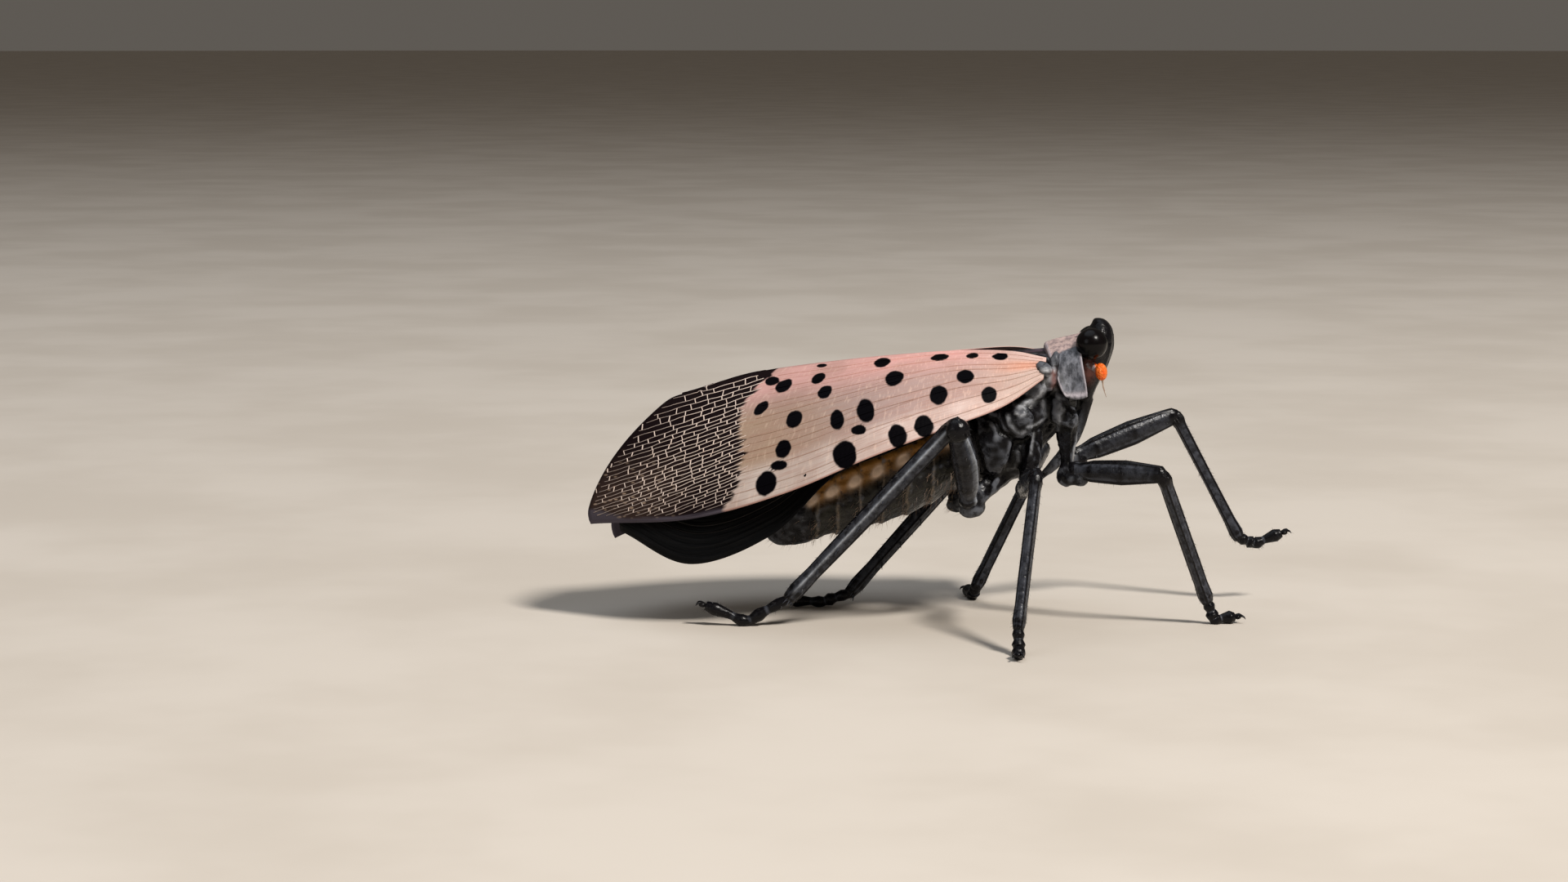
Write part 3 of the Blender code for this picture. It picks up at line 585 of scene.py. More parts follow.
rosy = Recipe("tegmen_membrane")
along_share, across_share, _ = rosy.attribute("membrane", "Vector").parts()
from_border, _, from_lead = rosy.attribute("field", "Vector").parts()
design_x, _, design_z = rosy.drawing.parts()
strip = rosy.whole(along_share * WINGS["tegmen"]["length"], across_share * STRIP_WIDTH)
streaks, hatch = strip.times(0.9, 14.0, 1.0).noise(1.0, 4.0), strip.times(9.0, 2.0, 1.0).noise(1.0)
glow = design_x.ease(1.6, 3.8) * (across_share - 0.42).math("ABSOLUTE").ease(0.20, 0.04)
waver = rosy.drawing.noise(1.9, 2.0) - 0.5
spotted = (rosy.attribute("spots") + waver * SPOT_WAVER).ease(1.0 + SPOT_EDGE, 1.0 - SPOT_EDGE)
skin = across_share.ease(0.12, 0.55).between(ROSE, FAWN)
for share, colour in (
        (from_border.ease(-5.0, -0.6) * across_share.ease(0.25, 0.5), TAN),
        (across_share.ease(0.74, 0.84, 0.0, 0.85), CREAM),
        (design_x.ease(0.6, 4.0) * 0.75, PALE_ROOT),
        (glow * 0.85, PEACH),
        (rosy.drawing.noise(0.45).ease(0.40, 0.66, 0.0, 0.40), CLOUD),
        (streaks.ease(0.42, 0.68, 0.0, 0.30), STREAK),
        (hatch.ease(0.52, 0.72, 0.0, 0.22), HATCH)):
    skin = share.between(skin, colour)
skin = design_x.ease(-6.5, 2.5).between(skin, TOWARDS_ROOT, "MULTIPLY")
skin = from_lead.ease(0.11, 0.02, 0.0, 0.7).between(skin, EDGE_PINK)
skin = spotted.between(skin, SPOT_BLACK)
raised = rosy.attribute("tone") * (spotted.rest() * design_x.ease(4.0, 0.5, 0.10, 0.28))
skin = raised.between(skin, VEIN_BROWN)

low_tip = across_share.ease(0.50, 0.95) * from_border.ease(1.2, 3.2)
flecks = strip.times(3.4, 6.0, 1.0).cells(1.0).ease(0.30, 0.12)
grey_reach = from_lead + (streaks - 0.5) * 0.30 - along_share.ease(0.93, 1.0) * 0.32
net = (low_tip * 0.75).between(CELL_BLACK, CELL_BROWN)
net = (flecks * (low_tip * 0.8)).between(net, SPECKLE)
net = grey_reach.ease(0.24, 0.04).between(net, MARGIN_GREY)
row_noise = rosy.whole((design_z - design_x * ROW_RISE) * 5.5, design_x * 0.7).noise(1.0, 0.0)
netted = (from_border + (row_noise - 0.52) * 0.7).ease(-0.10, 0.10)
TEGMEN = rosy.finish(
    Base_Color=netted.between(skin, net), Normal=rosy.bump(streaks * 0.6 + hatch * 0.4, 0.05, 0.5),
    Roughness=spotted.ease(0.0, 1.0, 0.52, 0.42), Specular_IOR_Level=0.02)
for side in (RIGHT, LEFT):
    membrane("tegmen", side, TEGMEN)

# %% [markdown]
# ## Veins
#
# Veins are fine tubes half sunk in the membrane. They could be painted on, but real ones catch the light, so
# they are geometry. First only their lines are drawn, as edges that carry a girth and a tone. Then one
# Geometry Nodes tree turns the edges into curves and sweeps a small profile of that girth along them.

# %% A Geometry Nodes tree for veins


def new_tree(name, inputs):
    """An empty modifier tree with named inputs. inputs: name, socket type, default."""
    tree = bpy.data.node_groups.new(name, "GeometryNodeTree")
    ends = [("Geometry", way, "Geometry", None) for way in ("INPUT", "OUTPUT")]
    for label, way, kind, default in ends + [(one[0], "INPUT", *one[1:]) for one in inputs]:
        socket = tree.interface.new_socket(label, in_out=way, socket_type="NodeSocket" + kind)
        if default is not None:
            socket.default_value = default
    return tree, tree.nodes.new("NodeGroupInput").outputs, tree.nodes.new("NodeGroupOutput")


def end_tree(tree, source, steps, finish, end):
    """Link geometry through nodes, then make it real and give it its finish."""
    real = node_with(tree, "GeometryNodeRealizeInstances")
    dressed = node_with(tree, "GeometryNodeSetMaterial", {"Material": finish})
    for node in (*steps, real, dressed):
        tree.links.new(source, node.inputs[0])
        source = node.outputs[0]
    tree.links.new(source, end.inputs[0])


def run_tree(made, tree, values):
    """Put a tree on an object, set its inputs by identifier, and keep the plain mesh that comes out."""
    step = made.modifiers.new(tree.name, "NODES")
    step.node_group = tree
    for item in tree.interface.items_tree:
        if item.item_type == "SOCKET" and item.in_out == "INPUT" and item.name in values:
            step[item.identifier] = values[item.name]
    return settle(made)


def read_named(tree, name, kind="FLOAT"):
    node = node_with(tree, "GeometryNodeInputNamedAttribute", {"Name": name}, data_type=kind)
    return node.outputs["Attribute"]


vein_tree, given, end = new_tree("vein_tubes", (("Girth scale", "Float", 1.0), ("Sides", "Int", 4),
                                                ("Finish", "Material", None)))
profile = node_with(vein_tree, "GeometryNodeCurvePrimitiveCircle", {
    "Radius": 1.0, "Resolution": given["Sides"]})
girth = node_with(vein_tree, "ShaderNodeMath", {0: read_named(vein_tree, "girth"), 1: given["Girth scale"]},
                  operation="MULTIPLY")
sweep = node_with(vein_tree, "GeometryNodeCurveToMesh", {
    "Fill Caps": True, "Scale": girth.outputs[0], "Profile Curve": profile.outputs[0]})
end_tree(vein_tree, given[0], (node_with(vein_tree, "GeometryNodeMeshToCurve"), sweep), given["Finish"], end)


def vein_piece(name, kind, side, lines, finish, sides=4):
    """Tubes along lines on a wing. Each line: shares along, shares across, girth in mm, tone."""
    shape = WINGS[kind]
    points, edges, girths, tones, shares, fields = [], [], [], [], [], []
    for along, across, size, tone in lines:
        on = wing_at(shape, side, along, across)
        on = on + wing_normal(shape, side, along, across) * 0.25 * np.mean(size)
        edges += [(len(points) + k, len(points) + k + 1) for k in range(len(along) - 1)]
        points += on.tolist()
        shares += np.stack([along, across, 0.0 * along], axis=-1).tolist()
        fields += wing_field(shape, along, across).tolist()
        girths += (np.broadcast_to(size, along.shape) * MM).tolist()
        tones += np.broadcast_to(tone, along.shape).tolist()
    points = np.array(points)
    mesh = bpy.data.meshes.new(name)
    mesh.from_pydata(((points + np.array(SHIFT)) * MM).tolist(), edges, [])
    made = add_object(name, mesh)
    for label, values in (("spots", spot_distance(points)), ("girth", girths), ("tone", tones),
                          ("membrane", shares), ("field", fields)):
        note(made, label, values)
    run_tree(made, vein_tree, {"Girth scale": 1.0, "Sides": sides, "Finish": finish})
    made.data.shade_smooth()
    return finish_piece(made, [], kind)


print("inputs of the vein tree:", [i.name for i in vein_tree.interface.items_tree])

# %% [markdown]
# The net of the wing's outer third is laid like brickwork: long rows that rise towards the root, flatter high
# up and steeper low down, with short cross-veins between them at uneven places. They are drawn as seen from
# the side, so each point's shares of the wing are looked up in a table. A seeded generator gives the same net
# every time.

# %% Lines of the net
NET_ROWS, NET_TOP, NET_LOW, NET_START = 66, 12.3, 3.4, -6.2
ROW_RISES = ((4.0, 0.44), (7.0, 0.43), (9.0, 0.41), (10.5, 0.36), (11.2, 0.29), (11.8, 0.22), (12.3, 0.18))
ROW_REACH, ROW_POINTS = 10.0, 120
BRICK_LENGTH, FARTHEST = 0.62, 0.05
ROW_GIRTH, CROSS_GIRTH = 0.019, 0.025
TABLE_ROWS, TABLE_COLUMNS = 360, 220


def share_table(side):
    """A lookup from places in the side view to shares of a tegmen's length and width."""
    along, across = shares_grid(TABLE_ROWS, TABLE_COLUMNS, 0.60)
    on = wing_at(WINGS["tegmen"], side, along, across).reshape(-1, 3)
    tree = kdtree.KDTree(len(on))
    for k, (x, _, z) in enumerate(on):
        tree.insert((x, 0.0, z), k)
    tree.balance()
    return tree, along.ravel(), across.ravel()


def look_up(table, x, z):
    """Shares at places in the side view, from the nearest points of the table, and how far those are."""
    tree, along, across = table
    found = np.zeros((len(x), 3))
    for k, (px, pz) in enumerate(zip(x, z)):
        near = tree.find_n((px, 0.0, pz), 4)
        weights = np.array([1.0 / (hit[2] + 1.0e-5) ** 2 for hit in near])
        picks = [hit[1] for hit in near]
        found[k] = (weights @ along[picks] / weights.sum(), weights @ across[picks] / weights.sum(),
                    near[0][2])
    return found.T


def row_line(a, b, shade):
    """A stretch of a row, thinner and darker towards the wing's rim."""
    rim = np.clip(np.minimum((1.0 - a) * 9.0, (1.0 - b) * 5.0), 0.0, 1.0)
    return a, b, ROW_GIRTH * (0.65 + 0.35 * rim), (0.22 + 0.58 * rim) * shade


def net_lines(side):
    draw = np.random.default_rng(7 if side == RIGHT else 8)
    table = share_table(side)
    reach = np.linspace(0.0, ROW_REACH, ROW_POINTS)
    lines, rows = [], []
    for r in range(NET_ROWS):
        height = NET_TOP + (NET_LOW - NET_TOP) * (r / (NET_ROWS - 1))
        rise = float(np.interp(height, *zip(*ROW_RISES)))
        phase = draw.uniform(0.0, 6.28, 2)
        rows.append(height - rise * reach + 0.018 * np.sin(2.1 * reach + phase[0])
                    + 0.010 * np.sin(5.3 * reach + phase[1]))
    for row in rows:
        along, across, off = look_up(table, NET_START - reach, row)
        ragged = draw.uniform(-0.016, 0.0)
        border = net_border(across)
        kept = (off < FARTHEST) & (along > border + ragged) & (along < 0.992)
        kept = kept & (across > 0.012) & (across < 0.972)
        on_spot = spot_distance(wing_at(WINGS["tegmen"], side, along, across)) < 1.05
        kept &= ~(on_spot & (along < border + 0.03))
        for piece in np.split(np.arange(len(kept)), np.flatnonzero(np.diff(kept.astype(int))) + 1):
            if kept[piece[0]] and len(piece) >= 4:
                lines.append(row_line(along[piece], across[piece], draw.uniform(0.85, 1.1)))
    for low, high in zip(rows, rows[1:]):
        steps = np.cumsum(BRICK_LENGTH * draw.uniform(0.6, 1.5, 40)) + draw.uniform(0.0, BRICK_LENGTH)
        for step in steps[steps < ROW_REACH - 0.3]:
            lean = draw.uniform(-0.06, 0.06)
            shares = np.array((step, step + 0.5 * lean, step + lean))
            top, foot = np.interp(shares, reach, low), np.interp(shares, reach, high)
            slanted = top + (foot - top) * np.array((0.0, 0.5, 1.0))
            along, across, off = look_up(table, NET_START - shares, slanted)
            inside = (along >= net_border(across) + 0.004) & (across <= 0.962) & (across >= 0.015)
            if off.max() > FARTHEST or not inside.all() or draw.uniform() < max(0.0, (along[0] - 0.94) * 14.0):
                continue
            low_down = np.clip((across[0] - 0.55) * 2.5, 0.0, 1.0)
            lines.append((along, across, CROSS_GIRTH * draw.uniform(0.75, 1.15),
                          draw.uniform(0.75, 1.0) - 0.15 * low_down))
    return lines


print("rows of the net:", NET_ROWS)

# %% [markdown]
# The main veins leave the root together, part like the fingers of a hand, and fork once near the middle.
# Their places are the same shares of the width that the ridges of the solids follow.

# %% Lines of the main veins
TEGMEN_VEINS = ((0.14, 0.10, 0.08), (0.27, 0.24, 0.20), (0.38, 0.38, 0.33), (0.47, 0.45, 0.45),
                (0.56, 0.60, 0.57), (0.65, 0.67, 0.69), (0.76, 0.80, 0.81), (0.88, 0.92, 0.92))
HINDWING_VEINS = ((0.20, 0.16, 0.12), (0.40, 0.36, 0.34), (0.60, 0.56, 0.56), (0.80, 0.78, 0.78))
VEIN_FORK, MAIN_GIRTH = 0.42, 0.024


def main_lines(veins, last, girth):
    """Main veins, each with a fine branch that leaves it past the fork."""
    lines = []
    for k, (root, fork, margin) in enumerate(veins):
        along = np.linspace(0.015, last, 90)
        before = root + (fork - root) * along / VEIN_FORK
        after = fork + (margin - fork) * (along - VEIN_FORK) / (1.0 - VEIN_FORK)
        blend = np.clip((along - VEIN_FORK + 0.08) / 0.16, 0.0, 1.0)
        across = before * (1.0 - blend) + after * blend + 0.003 * np.sin(23.0 * along + k)
        size = girth * (1.25 - 0.55 * along)
        lines.append((along, across, size, np.clip(0.9 - 0.3 * along, 0.0, 1.0)))
        split = along > VEIN_FORK + 0.05 * math.sin(2.0 * k)
        aside = np.minimum((along[split] - along[split][0]) * 0.35, 0.045)
        lines.append((along[split], across[split] + aside, 0.6 * size[split], 0.6))
    return lines


pale = Recipe("tegmen_veins")
vein_colour = pale.attribute("tone").between((0.045, 0.028, 0.024), (0.80, 0.66, 0.58))
vein_colour = pale.drawing.parts()[0].ease(-1.0, 3.4).between(vein_colour, (0.42, 0.13, 0.045))
vein_colour = pale.drawing.noise(4.0).ease(0.45, 0.7, 0.0, 0.4).between(vein_colour, (0.62, 0.46, 0.36))
TEGMEN_VEIN = pale.finish(Base_Color=vein_colour, Roughness=0.5)
for side in (RIGHT, LEFT):
    vein_piece("tegmen_%s_net" % SIDES[side], "tegmen", side, net_lines(side), TEGMEN_VEIN)
    vein_piece("tegmen_%s_main_veins" % SIDES[side], "tegmen", side,
               main_lines(TEGMEN_VEINS, 0.76, MAIN_GIRTH), TEGMEN, 6)

# %% [markdown]
# ## Hindwings
#
# Under each tegmen lies a softer hindwing, of which only a black lobe hangs out below. It is the same kind
# of surface between two edges, with fewer and greyer veins and a satin shine.

# %% Hindwings
satin = Recipe("hindwing_membrane")
pleats = satin.attribute("membrane", "Vector").times(6.0, 46.0, 1.0).noise(1.0)
HINDWING = satin.finish(
    Base_Color=(pleats.ease(0.50, 0.72) * 0.30).between((0.0012, 0.0012, 0.0015), (0.022, 0.020, 0.019)),
    Roughness=pleats.ease(0.3, 0.7, 0.46, 0.36), Normal=satin.bump(pleats, 0.08, 0.6),
    Specular_IOR_Level=0.10)
grey = Recipe("hindwing_veins")
HINDWING_VEIN = grey.finish(
    Base_Color=grey.drawing.noise(3.0).between((0.008, 0.0075, 0.0075), (0.035, 0.030, 0.027)), Roughness=0.5,
    Specular_IOR_Level=0.10)
for side in (RIGHT, LEFT):
    membrane("hindwing", side, HINDWING)
    vein_piece("hindwing_%s_veins" % SIDES[side], "hindwing", side, main_lines(HINDWING_VEINS, 0.97, 0.03),
               HINDWING_VEIN)

# %% [markdown]
# ## Body
#
# Under the wings the head, thorax and abdomen are one cuticle. Each region is lofted from a few stations,
# the plates of the thorax and the bases of the legs are added as overlapping closed forms, and a voxel
# remesh fuses them all into one skin without a seam. Fusing by Boolean would keep the creases razor sharp;
# the remesh rounds them, as real sutures are rounded.

# %% Regions of the body
THORAX_STATIONS = (
    # x, middle z, half width, rise and drop from the middle
    (1.05, 8.20, 2.05, 1.50, 2.10), (1.90, 8.45, 2.40, 1.70, 2.35), (2.80, 8.80, 2.50, 2.00, 2.50),
    (3.70, 9.10, 2.50, 2.05, 2.45), (4.45, 9.50, 2.35, 1.75, 2.35), (4.90, 9.85, 1.80, 1.65, 2.10),
    (5.40, 10.20, 1.55, 1.45, 1.90), (6.30, 10.75, 1.20, 1.05, 1.35))
ABDOMEN_STATIONS = (
    (1.60, 8.25, 2.00, 1.40, 2.05), (0.95, 8.10, 2.25, 1.47, 2.18), (-0.10, 7.75, 2.62, 1.57, 2.47),
    (-1.20, 7.35, 2.92, 1.67, 2.62), (-2.30, 6.95, 3.02, 1.72, 2.57), (-3.30, 6.55, 2.97, 1.67, 2.47),
    (-4.30, 6.15, 2.77, 1.57, 2.27), (-5.20, 5.75, 2.42, 1.42, 2.07), (-5.80, 5.20, 2.05, 1.28, 1.75))
ABDOMEN_TIP_STATIONS = (
    (-5.10, 5.45, 1.95, 1.20, 1.70), (-5.60, 5.20, 2.08, 1.30, 1.80), (-6.20, 4.85, 1.88, 1.12, 1.58),
    (-6.90, 4.45, 1.48, 0.92, 1.23), (-7.35, 4.22, 0.95, 0.63, 0.80), (-7.58, 4.15, 0.45, 0.32, 0.38))
SEGMENT_EDGES = (0.83, -0.22, -1.32, -2.42, -3.42, -4.42, -5.32)
SEGMENT_STEP = 0.15


def trunk(stations, rows, sides, swell=None):
    """A closed form through body stations. swell(x, turn) pushes the skin out, in mm."""
    table, shares = np.array(stations), np.linspace(0.0, 1.0, rows)
    rings = []
    for x, middle, half_width, rise, drop in np.hstack([curve_at(table[:, :3], shares),
                                                        curve_at(table[:, 2:], shares)[:, 1:]]):
        def point_at(turn):
            up = math.cos(turn)
            share = 0.5 + 0.5 * max(-1.0, min(1.0, 3.0 * up))
            more = swell(x, turn) if swell else 0.0
            reach = rise * share + drop * (1.0 - share)
            return Vector((x, (half_width + more) * math.sin(turn), middle + (reach + more) * up))
        rings.append(round_about(sides, point_at))
    return loft(rings)


def segment_swell(x, turn):
    """Each segment widens to its rear lip and steps in to the next; a fold runs along each flank."""
    start = min([edge for edge in SEGMENT_EDGES if edge > x], default=x + 1.0)
    stop = max([edge for edge in SEGMENT_EDGES if edge <= x], default=x - 1.0)
    share = (start - x) / max(start - stop, 0.05)
    lip = SEGMENT_STEP * (share ** 2.2 - 0.35)
    side = abs(math.sin(turn))
    fold = -0.16 * math.exp(-((side - 0.985) / 0.02) ** 2) if math.cos(turn) < 0.25 else 0.0
    keel = 0.10 * math.exp(-((turn - math.pi) / 0.25) ** 2)
    return lip + fold + keel


print("segments of the abdomen:", len(SEGMENT_EDGES))

# %% [markdown]
# The head is a tall, narrow wedge. Its forehead turns up into a blunt process between the eyes, and three
# upright keels run down the face to the mouth. It is lofted from level sections, from the process down.

# %% Head
HEAD_LEVELS = (
    # z, middle x, half depth, half width
    (13.44, 7.22, 0.12, 0.24), (13.38, 7.28, 0.26, 0.46), (13.15, 7.35, 0.42, 0.66),
    (12.80, 7.26, 0.64, 0.90), (12.20, 7.00, 0.92, 1.16), (11.60, 6.83, 0.93, 1.24),
    (11.00, 6.74, 0.78, 1.12), (10.40, 6.70, 0.52, 0.82), (9.80, 6.66, 0.33, 0.48))
FACE_KEELS = (0.0, 0.62, -0.62)
FACE_KEEL_RISE, FACE_KEEL_SPREAD = 0.075, 0.085


def head_form(rows=110, sides=120):
    table, shares = np.array(HEAD_LEVELS), np.linspace(0.0, 1.0, rows)
    rings = []
    for (height, middle, half_depth), (_, _, half_width) in zip(curve_at(table[:, :3], shares),
                                                                curve_at(table[:, 1:], shares)):
        def point_at(turn):
            off = (turn + math.pi) % TURN - math.pi
            keel = sum(math.exp(-((off - at) / FACE_KEEL_SPREAD) ** 2) for at in FACE_KEELS)
            hollow = 0.05 * math.exp(-((abs(off) - 0.33) / 0.16) ** 2)
            out = 1.0 + (FACE_KEEL_RISE * keel - hollow) * max(math.cos(turn), 0.0)
            return Vector((middle + half_depth * out * math.cos(turn), half_width * out * math.sin(turn),
                           height))
        rings.append(round_about(sides, point_at))
    return loft(rings)


print("face keels at degrees:", [round(math.degrees(a)) for a in FACE_KEELS])

# %% [markdown]
# Plates and leg bases are domes: stretched spheres turned the way the plate leans. Each is listed with its
# middle, its three half sizes and its turns, on the left side, and mirrored to the right.

# %% Plates of the thorax and bases of the legs
PLATES = (
    # middle, half sizes, turns about x and y in degrees
    ((2.60, 1.55, 8.00), (1.15, 1.05, 1.45), (0, -12)), ((1.45, 1.40, 8.20), (0.95, 1.00, 1.30), (0, -18)),
    ((3.70, 1.65, 9.20), (1.20, 1.05, 0.95), (0, -30)), ((4.66, 2.46, 11.42), (0.36, 0.30, 0.24), (0, 35)),
    ((5.02, 2.20, 10.90), (0.22, 0.28, 0.50), (0, 10)), ((5.16, 1.95, 11.50), (0.15, 0.30, 0.62), (0, 8)),
    ((4.40, 0.55, 10.90), (1.30, 1.75, 1.04), (0, 0)), ((3.55, 1.75, 7.60), (0.60, 0.70, 0.80), (0, 0)),
    ((5.30, 1.45, 9.60), (0.60, 0.50, 0.75), (0, 15)), ((6.05, 1.15, 10.40), (0.55, 0.45, 0.55), (0, 30)),
    ((3.30, 1.20, 6.90), (0.85, 0.80, 0.60), (0, 0)), ((4.15, 1.75, 10.70), (0.80, 0.80, 0.90), (-25, 10)),
    ((3.20, 1.40, 10.85), (1.40, 0.90, 0.90), (0, 0)))
TROCHANTERS = {
    RIGHT: (((5.80, 1.85, 6.68), (0.60, 0.50, 0.66), (0, 0)),
            ((6.15, 2.10, 6.52), (0.62, 0.42, 0.46), (0, -8)),
            ((1.58, 1.95, 5.16), (0.62, 0.45, 0.44), (0, -14)),
            ((3.95, 2.75, 6.20), (0.44, 0.50, 0.44), (0, 0))),
    LEFT: (((6.20, 1.85, 6.80), (0.52, 0.48, 0.55), (0, 0)),
           ((6.55, 2.00, 6.80), (0.50, 0.42, 0.42), (0, -20)),
           ((1.20, 1.90, 4.85), (0.60, 0.42, 0.42), (0, -14)),
           ((4.15, 2.75, 6.20), (0.44, 0.50, 0.44), (0, 0)))}
COXAE = {
    "fore": {RIGHT: ((5.75, -1.35, 9.6), (5.78, -1.80, 6.85)), LEFT: ((5.75, 1.35, 9.6), (6.05, 1.80, 6.85))},
    "mid": {RIGHT: ((4.40, -1.9, 8.7), (3.82, -2.60, 6.05)), LEFT: ((4.4, 1.9, 8.7), (4.10, 2.60, 6.05))},
    "hind": {RIGHT: ((3.2, -1.2, 6.7), (1.40, -2.10, 5.35)), LEFT: ((3.3, 1.2, 6.5), (0.95, 1.95, 4.95))}}
COXA_PROFILE = ((0.0, 0.44), (0.15, 0.54), (0.45, 0.50), (0.75, 0.45), (0.92, 0.42), (1.04, 0.26))
BEAK_PATH = ((6.70, 0.0, 9.9), (6.56, 0.0, 9.3), (6.40, 0.0, 8.6), (6.08, 0.0, 7.85), (5.35, 0.0, 6.85),
             (4.4, 0.0, 6.0))
BEAK_RADII = (0.40, 0.36, 0.31, 0.28, 0.25, 0.10)


def dome(middle, half_sizes, turns, side, sides=32, levels=18, offset=(0.0, 0.0, 0.0)):
    about_x, about_y = (Matrix.Rotation(math.radians(turn), 3, axis) for turn, axis in zip(turns, "XY"))
    turning = about_x @ about_y
    wide, deep, tall = half_sizes

    def ring(polar):
        return round_about(sides, lambda turn: across_sides(Vector(middle) + turning @ Vector((
            wide * math.sin(polar) * math.cos(turn), deep * math.sin(polar) * math.sin(turn),
            tall * math.cos(polar))), side) + Vector(offset))
    return loft([ring(math.pi * r / levels) for r in range(1, levels)])


def frame_along(start, end):
    axis = (Vector(end) - Vector(start)).normalized()
    level = UP if abs(axis.z) < 0.98 else Vector((1.0, 0.0, 0.0))
    side = axis.cross(level).normalized()
    return axis, side, side.cross(axis)


def ridged_limb(start, end, profile, flat=1.0, ridges=(), rise=0.08, spread=0.16, rows=48, sides=40, bow=0.0):
    """A limb with ridges along it, at turns in degrees from its side. bow: its bend to that side."""
    start, end = Vector(start), Vector(end)
    axis, side, lift = frame_along(start, end)
    length = (end - start).length
    rings = []
    for share in np.linspace(profile[0][0], profile[-1][0], rows):
        radius = float(np.interp(share, *zip(*profile)))
        bend = bow * math.sin(math.pi * min(max(share, 0.0), 1.0))
        middle = start + axis * (share * length) + side * bend
        fade = math.sin(math.pi * min(max((share + 0.02) / 1.04, 0.0), 1.0)) ** 0.5

        def point_at(turn):
            ridge = max([math.exp(-(((turn - math.radians(at) + math.pi) % TURN - math.pi) / spread) ** 2)
                         for at in ridges] or [0.0])
            out = radius * (1.0 - 0.5 * rise + 1.5 * rise * ridge * fade)
            return middle + side * (out * flat * math.cos(turn)) + lift * (out * math.sin(turn))
        rings.append(round_about(sides, point_at))
    return loft(rings)


def bent_tube(path, radii, rows=40, sides=28):
    """A tube along a smooth path that lies in one upright plane."""
    reach = Vector(path[-1]) - Vector(path[0])
    side = Vector((reach.y, -reach.x, 0.0)).normalized()
    shares = np.linspace(0.0, 1.0, rows)
    rings = []
    for share, radius in zip(shares, np.interp(shares, np.linspace(0.0, 1.0, len(radii)), radii)):
        middle = smooth_curve(path, share)
        ahead, behind = min(share + 0.02, 1.0), max(share - 0.02, 0.0)
        axis = (smooth_curve(path, ahead) - smooth_curve(path, behind)).normalized()
        lift = side.cross(axis)
        rings.append(round_about(sides, lambda turn: middle + side * (radius * math.cos(turn))
                                 + lift * (radius * math.sin(turn))))
    return loft(rings)


print("plates on each side:", len(PLATES))

# %% [markdown]
# The cuticle's finish is near black, with painted shade darkening its grooves and a blue-grey bloom on
# whatever stands out, partly real dust and partly a painted highlight. Marks are added by place: a pinkish
# cheek below the eye, an ochre band with cream spots along the flank of the abdomen, paler rims where each
# segment ends, and painted highlight lines along the ridges of the thorax's flank.

# %% Cuticle finish
# Grooves are painted darker as shade; the blue-grey bloom is partly real dust and partly a painted highlight.
BLACK, GROOVE_SHADE, BLOOM_AND_HIGHLIGHT = (0.0036, 0.0032, 0.0042), (0.0010, 0.0008, 0.0011), (0.15, 0.16, 0.185)
# The pale pearl colour is a highlight painted along the ridges of the thorax's flank.
FLANK_HIGHLIGHT, CHEEK, OCHRE = (0.60, 0.62, 0.66), (0.30, 0.13, 0.11), (0.26, 0.12, 0.025)
CREAM_SPOT, RIM, OLIVE = (0.72, 0.54, 0.40), (0.25, 0.20, 0.15), (0.021, 0.020, 0.015)


def cuticle_bump(made, depth):
    grit = made.drawing.noise(14.0, 4.0, 0.6) * 0.10 + made.drawing.cells(9.0) * 0.10
    return made.bump(grit + made.drawing.noise(3.0, 2.0), depth, 0.8)


def cuticle_colour(made, bloom_and_highlight_share, shown=None):
    """Black, painted darker in its grooves as shade, with bloom and painted highlight on its ridges,
    everywhere or only where shown.
    """
    relief, mottle = made.attribute("relief"), made.drawing.noise(2.2, 5.0, 0.65)
    # dusty is the bloom: on the ridges partly real dust and partly a painted highlight, in the mottle real
    # dust.
    dusty = relief.ease(0.58, 0.95) * mottle.ease(0.36, 0.56)
    dusty = dusty.math("MAXIMUM", mottle.ease(0.52, 0.76, 0.0, 0.18))
    if shown:
        dusty = dusty * shown
    # Painted shade darkens the hollows, and bloom with painted highlight lightens the ridges.
    return (dusty * bloom_and_highlight_share).between(relief.ease(0.48, 0.34).between(BLACK, GROOVE_SHADE), BLOOM_AND_HIGHLIGHT)


skin_recipe = Recipe("body_cuticle")
cheek, flank, cream = skin_recipe.attribute("marks", "Vector").parts()
rim, ridge, belly = skin_recipe.attribute("rims", "Vector").parts()
patchy = skin_recipe.drawing.noise(3.0, 4.0, 0.6)
bare_face = skin_recipe.drawing.parts()[0].ease(6.25, 6.75)
body_colour = cuticle_colour(skin_recipe, 0.6, bare_face.rest())
# ridge is the share of the highlight painted along the flank's ridges.
for share, colour in (
        (belly * patchy.ease(0.36, 0.60, 0.10, 0.9), OLIVE), (rim * patchy.ease(0.30, 0.60), RIM),
        (cheek * patchy.ease(0.25, 0.55, 0.35, 0.9), CHEEK),
        (flank * patchy.ease(0.30, 0.52, 0.15, 1.0), OCHRE),
        (cream, CREAM_SPOT), (ridge * patchy.ease(0.34, 0.58, 0.35, 1.0), FLANK_HIGHLIGHT)):
    body_colour = share.between(body_colour, colour)
BODY_CUTICLE = skin_recipe.finish(
    Base_Color=body_colour, Normal=cuticle_bump(skin_recipe, 0.06), Specular_IOR_Level=0.17,
    Roughness=skin_recipe.drawing.noise(6.0).ease(0.3, 0.7, 0.22, 0.42))

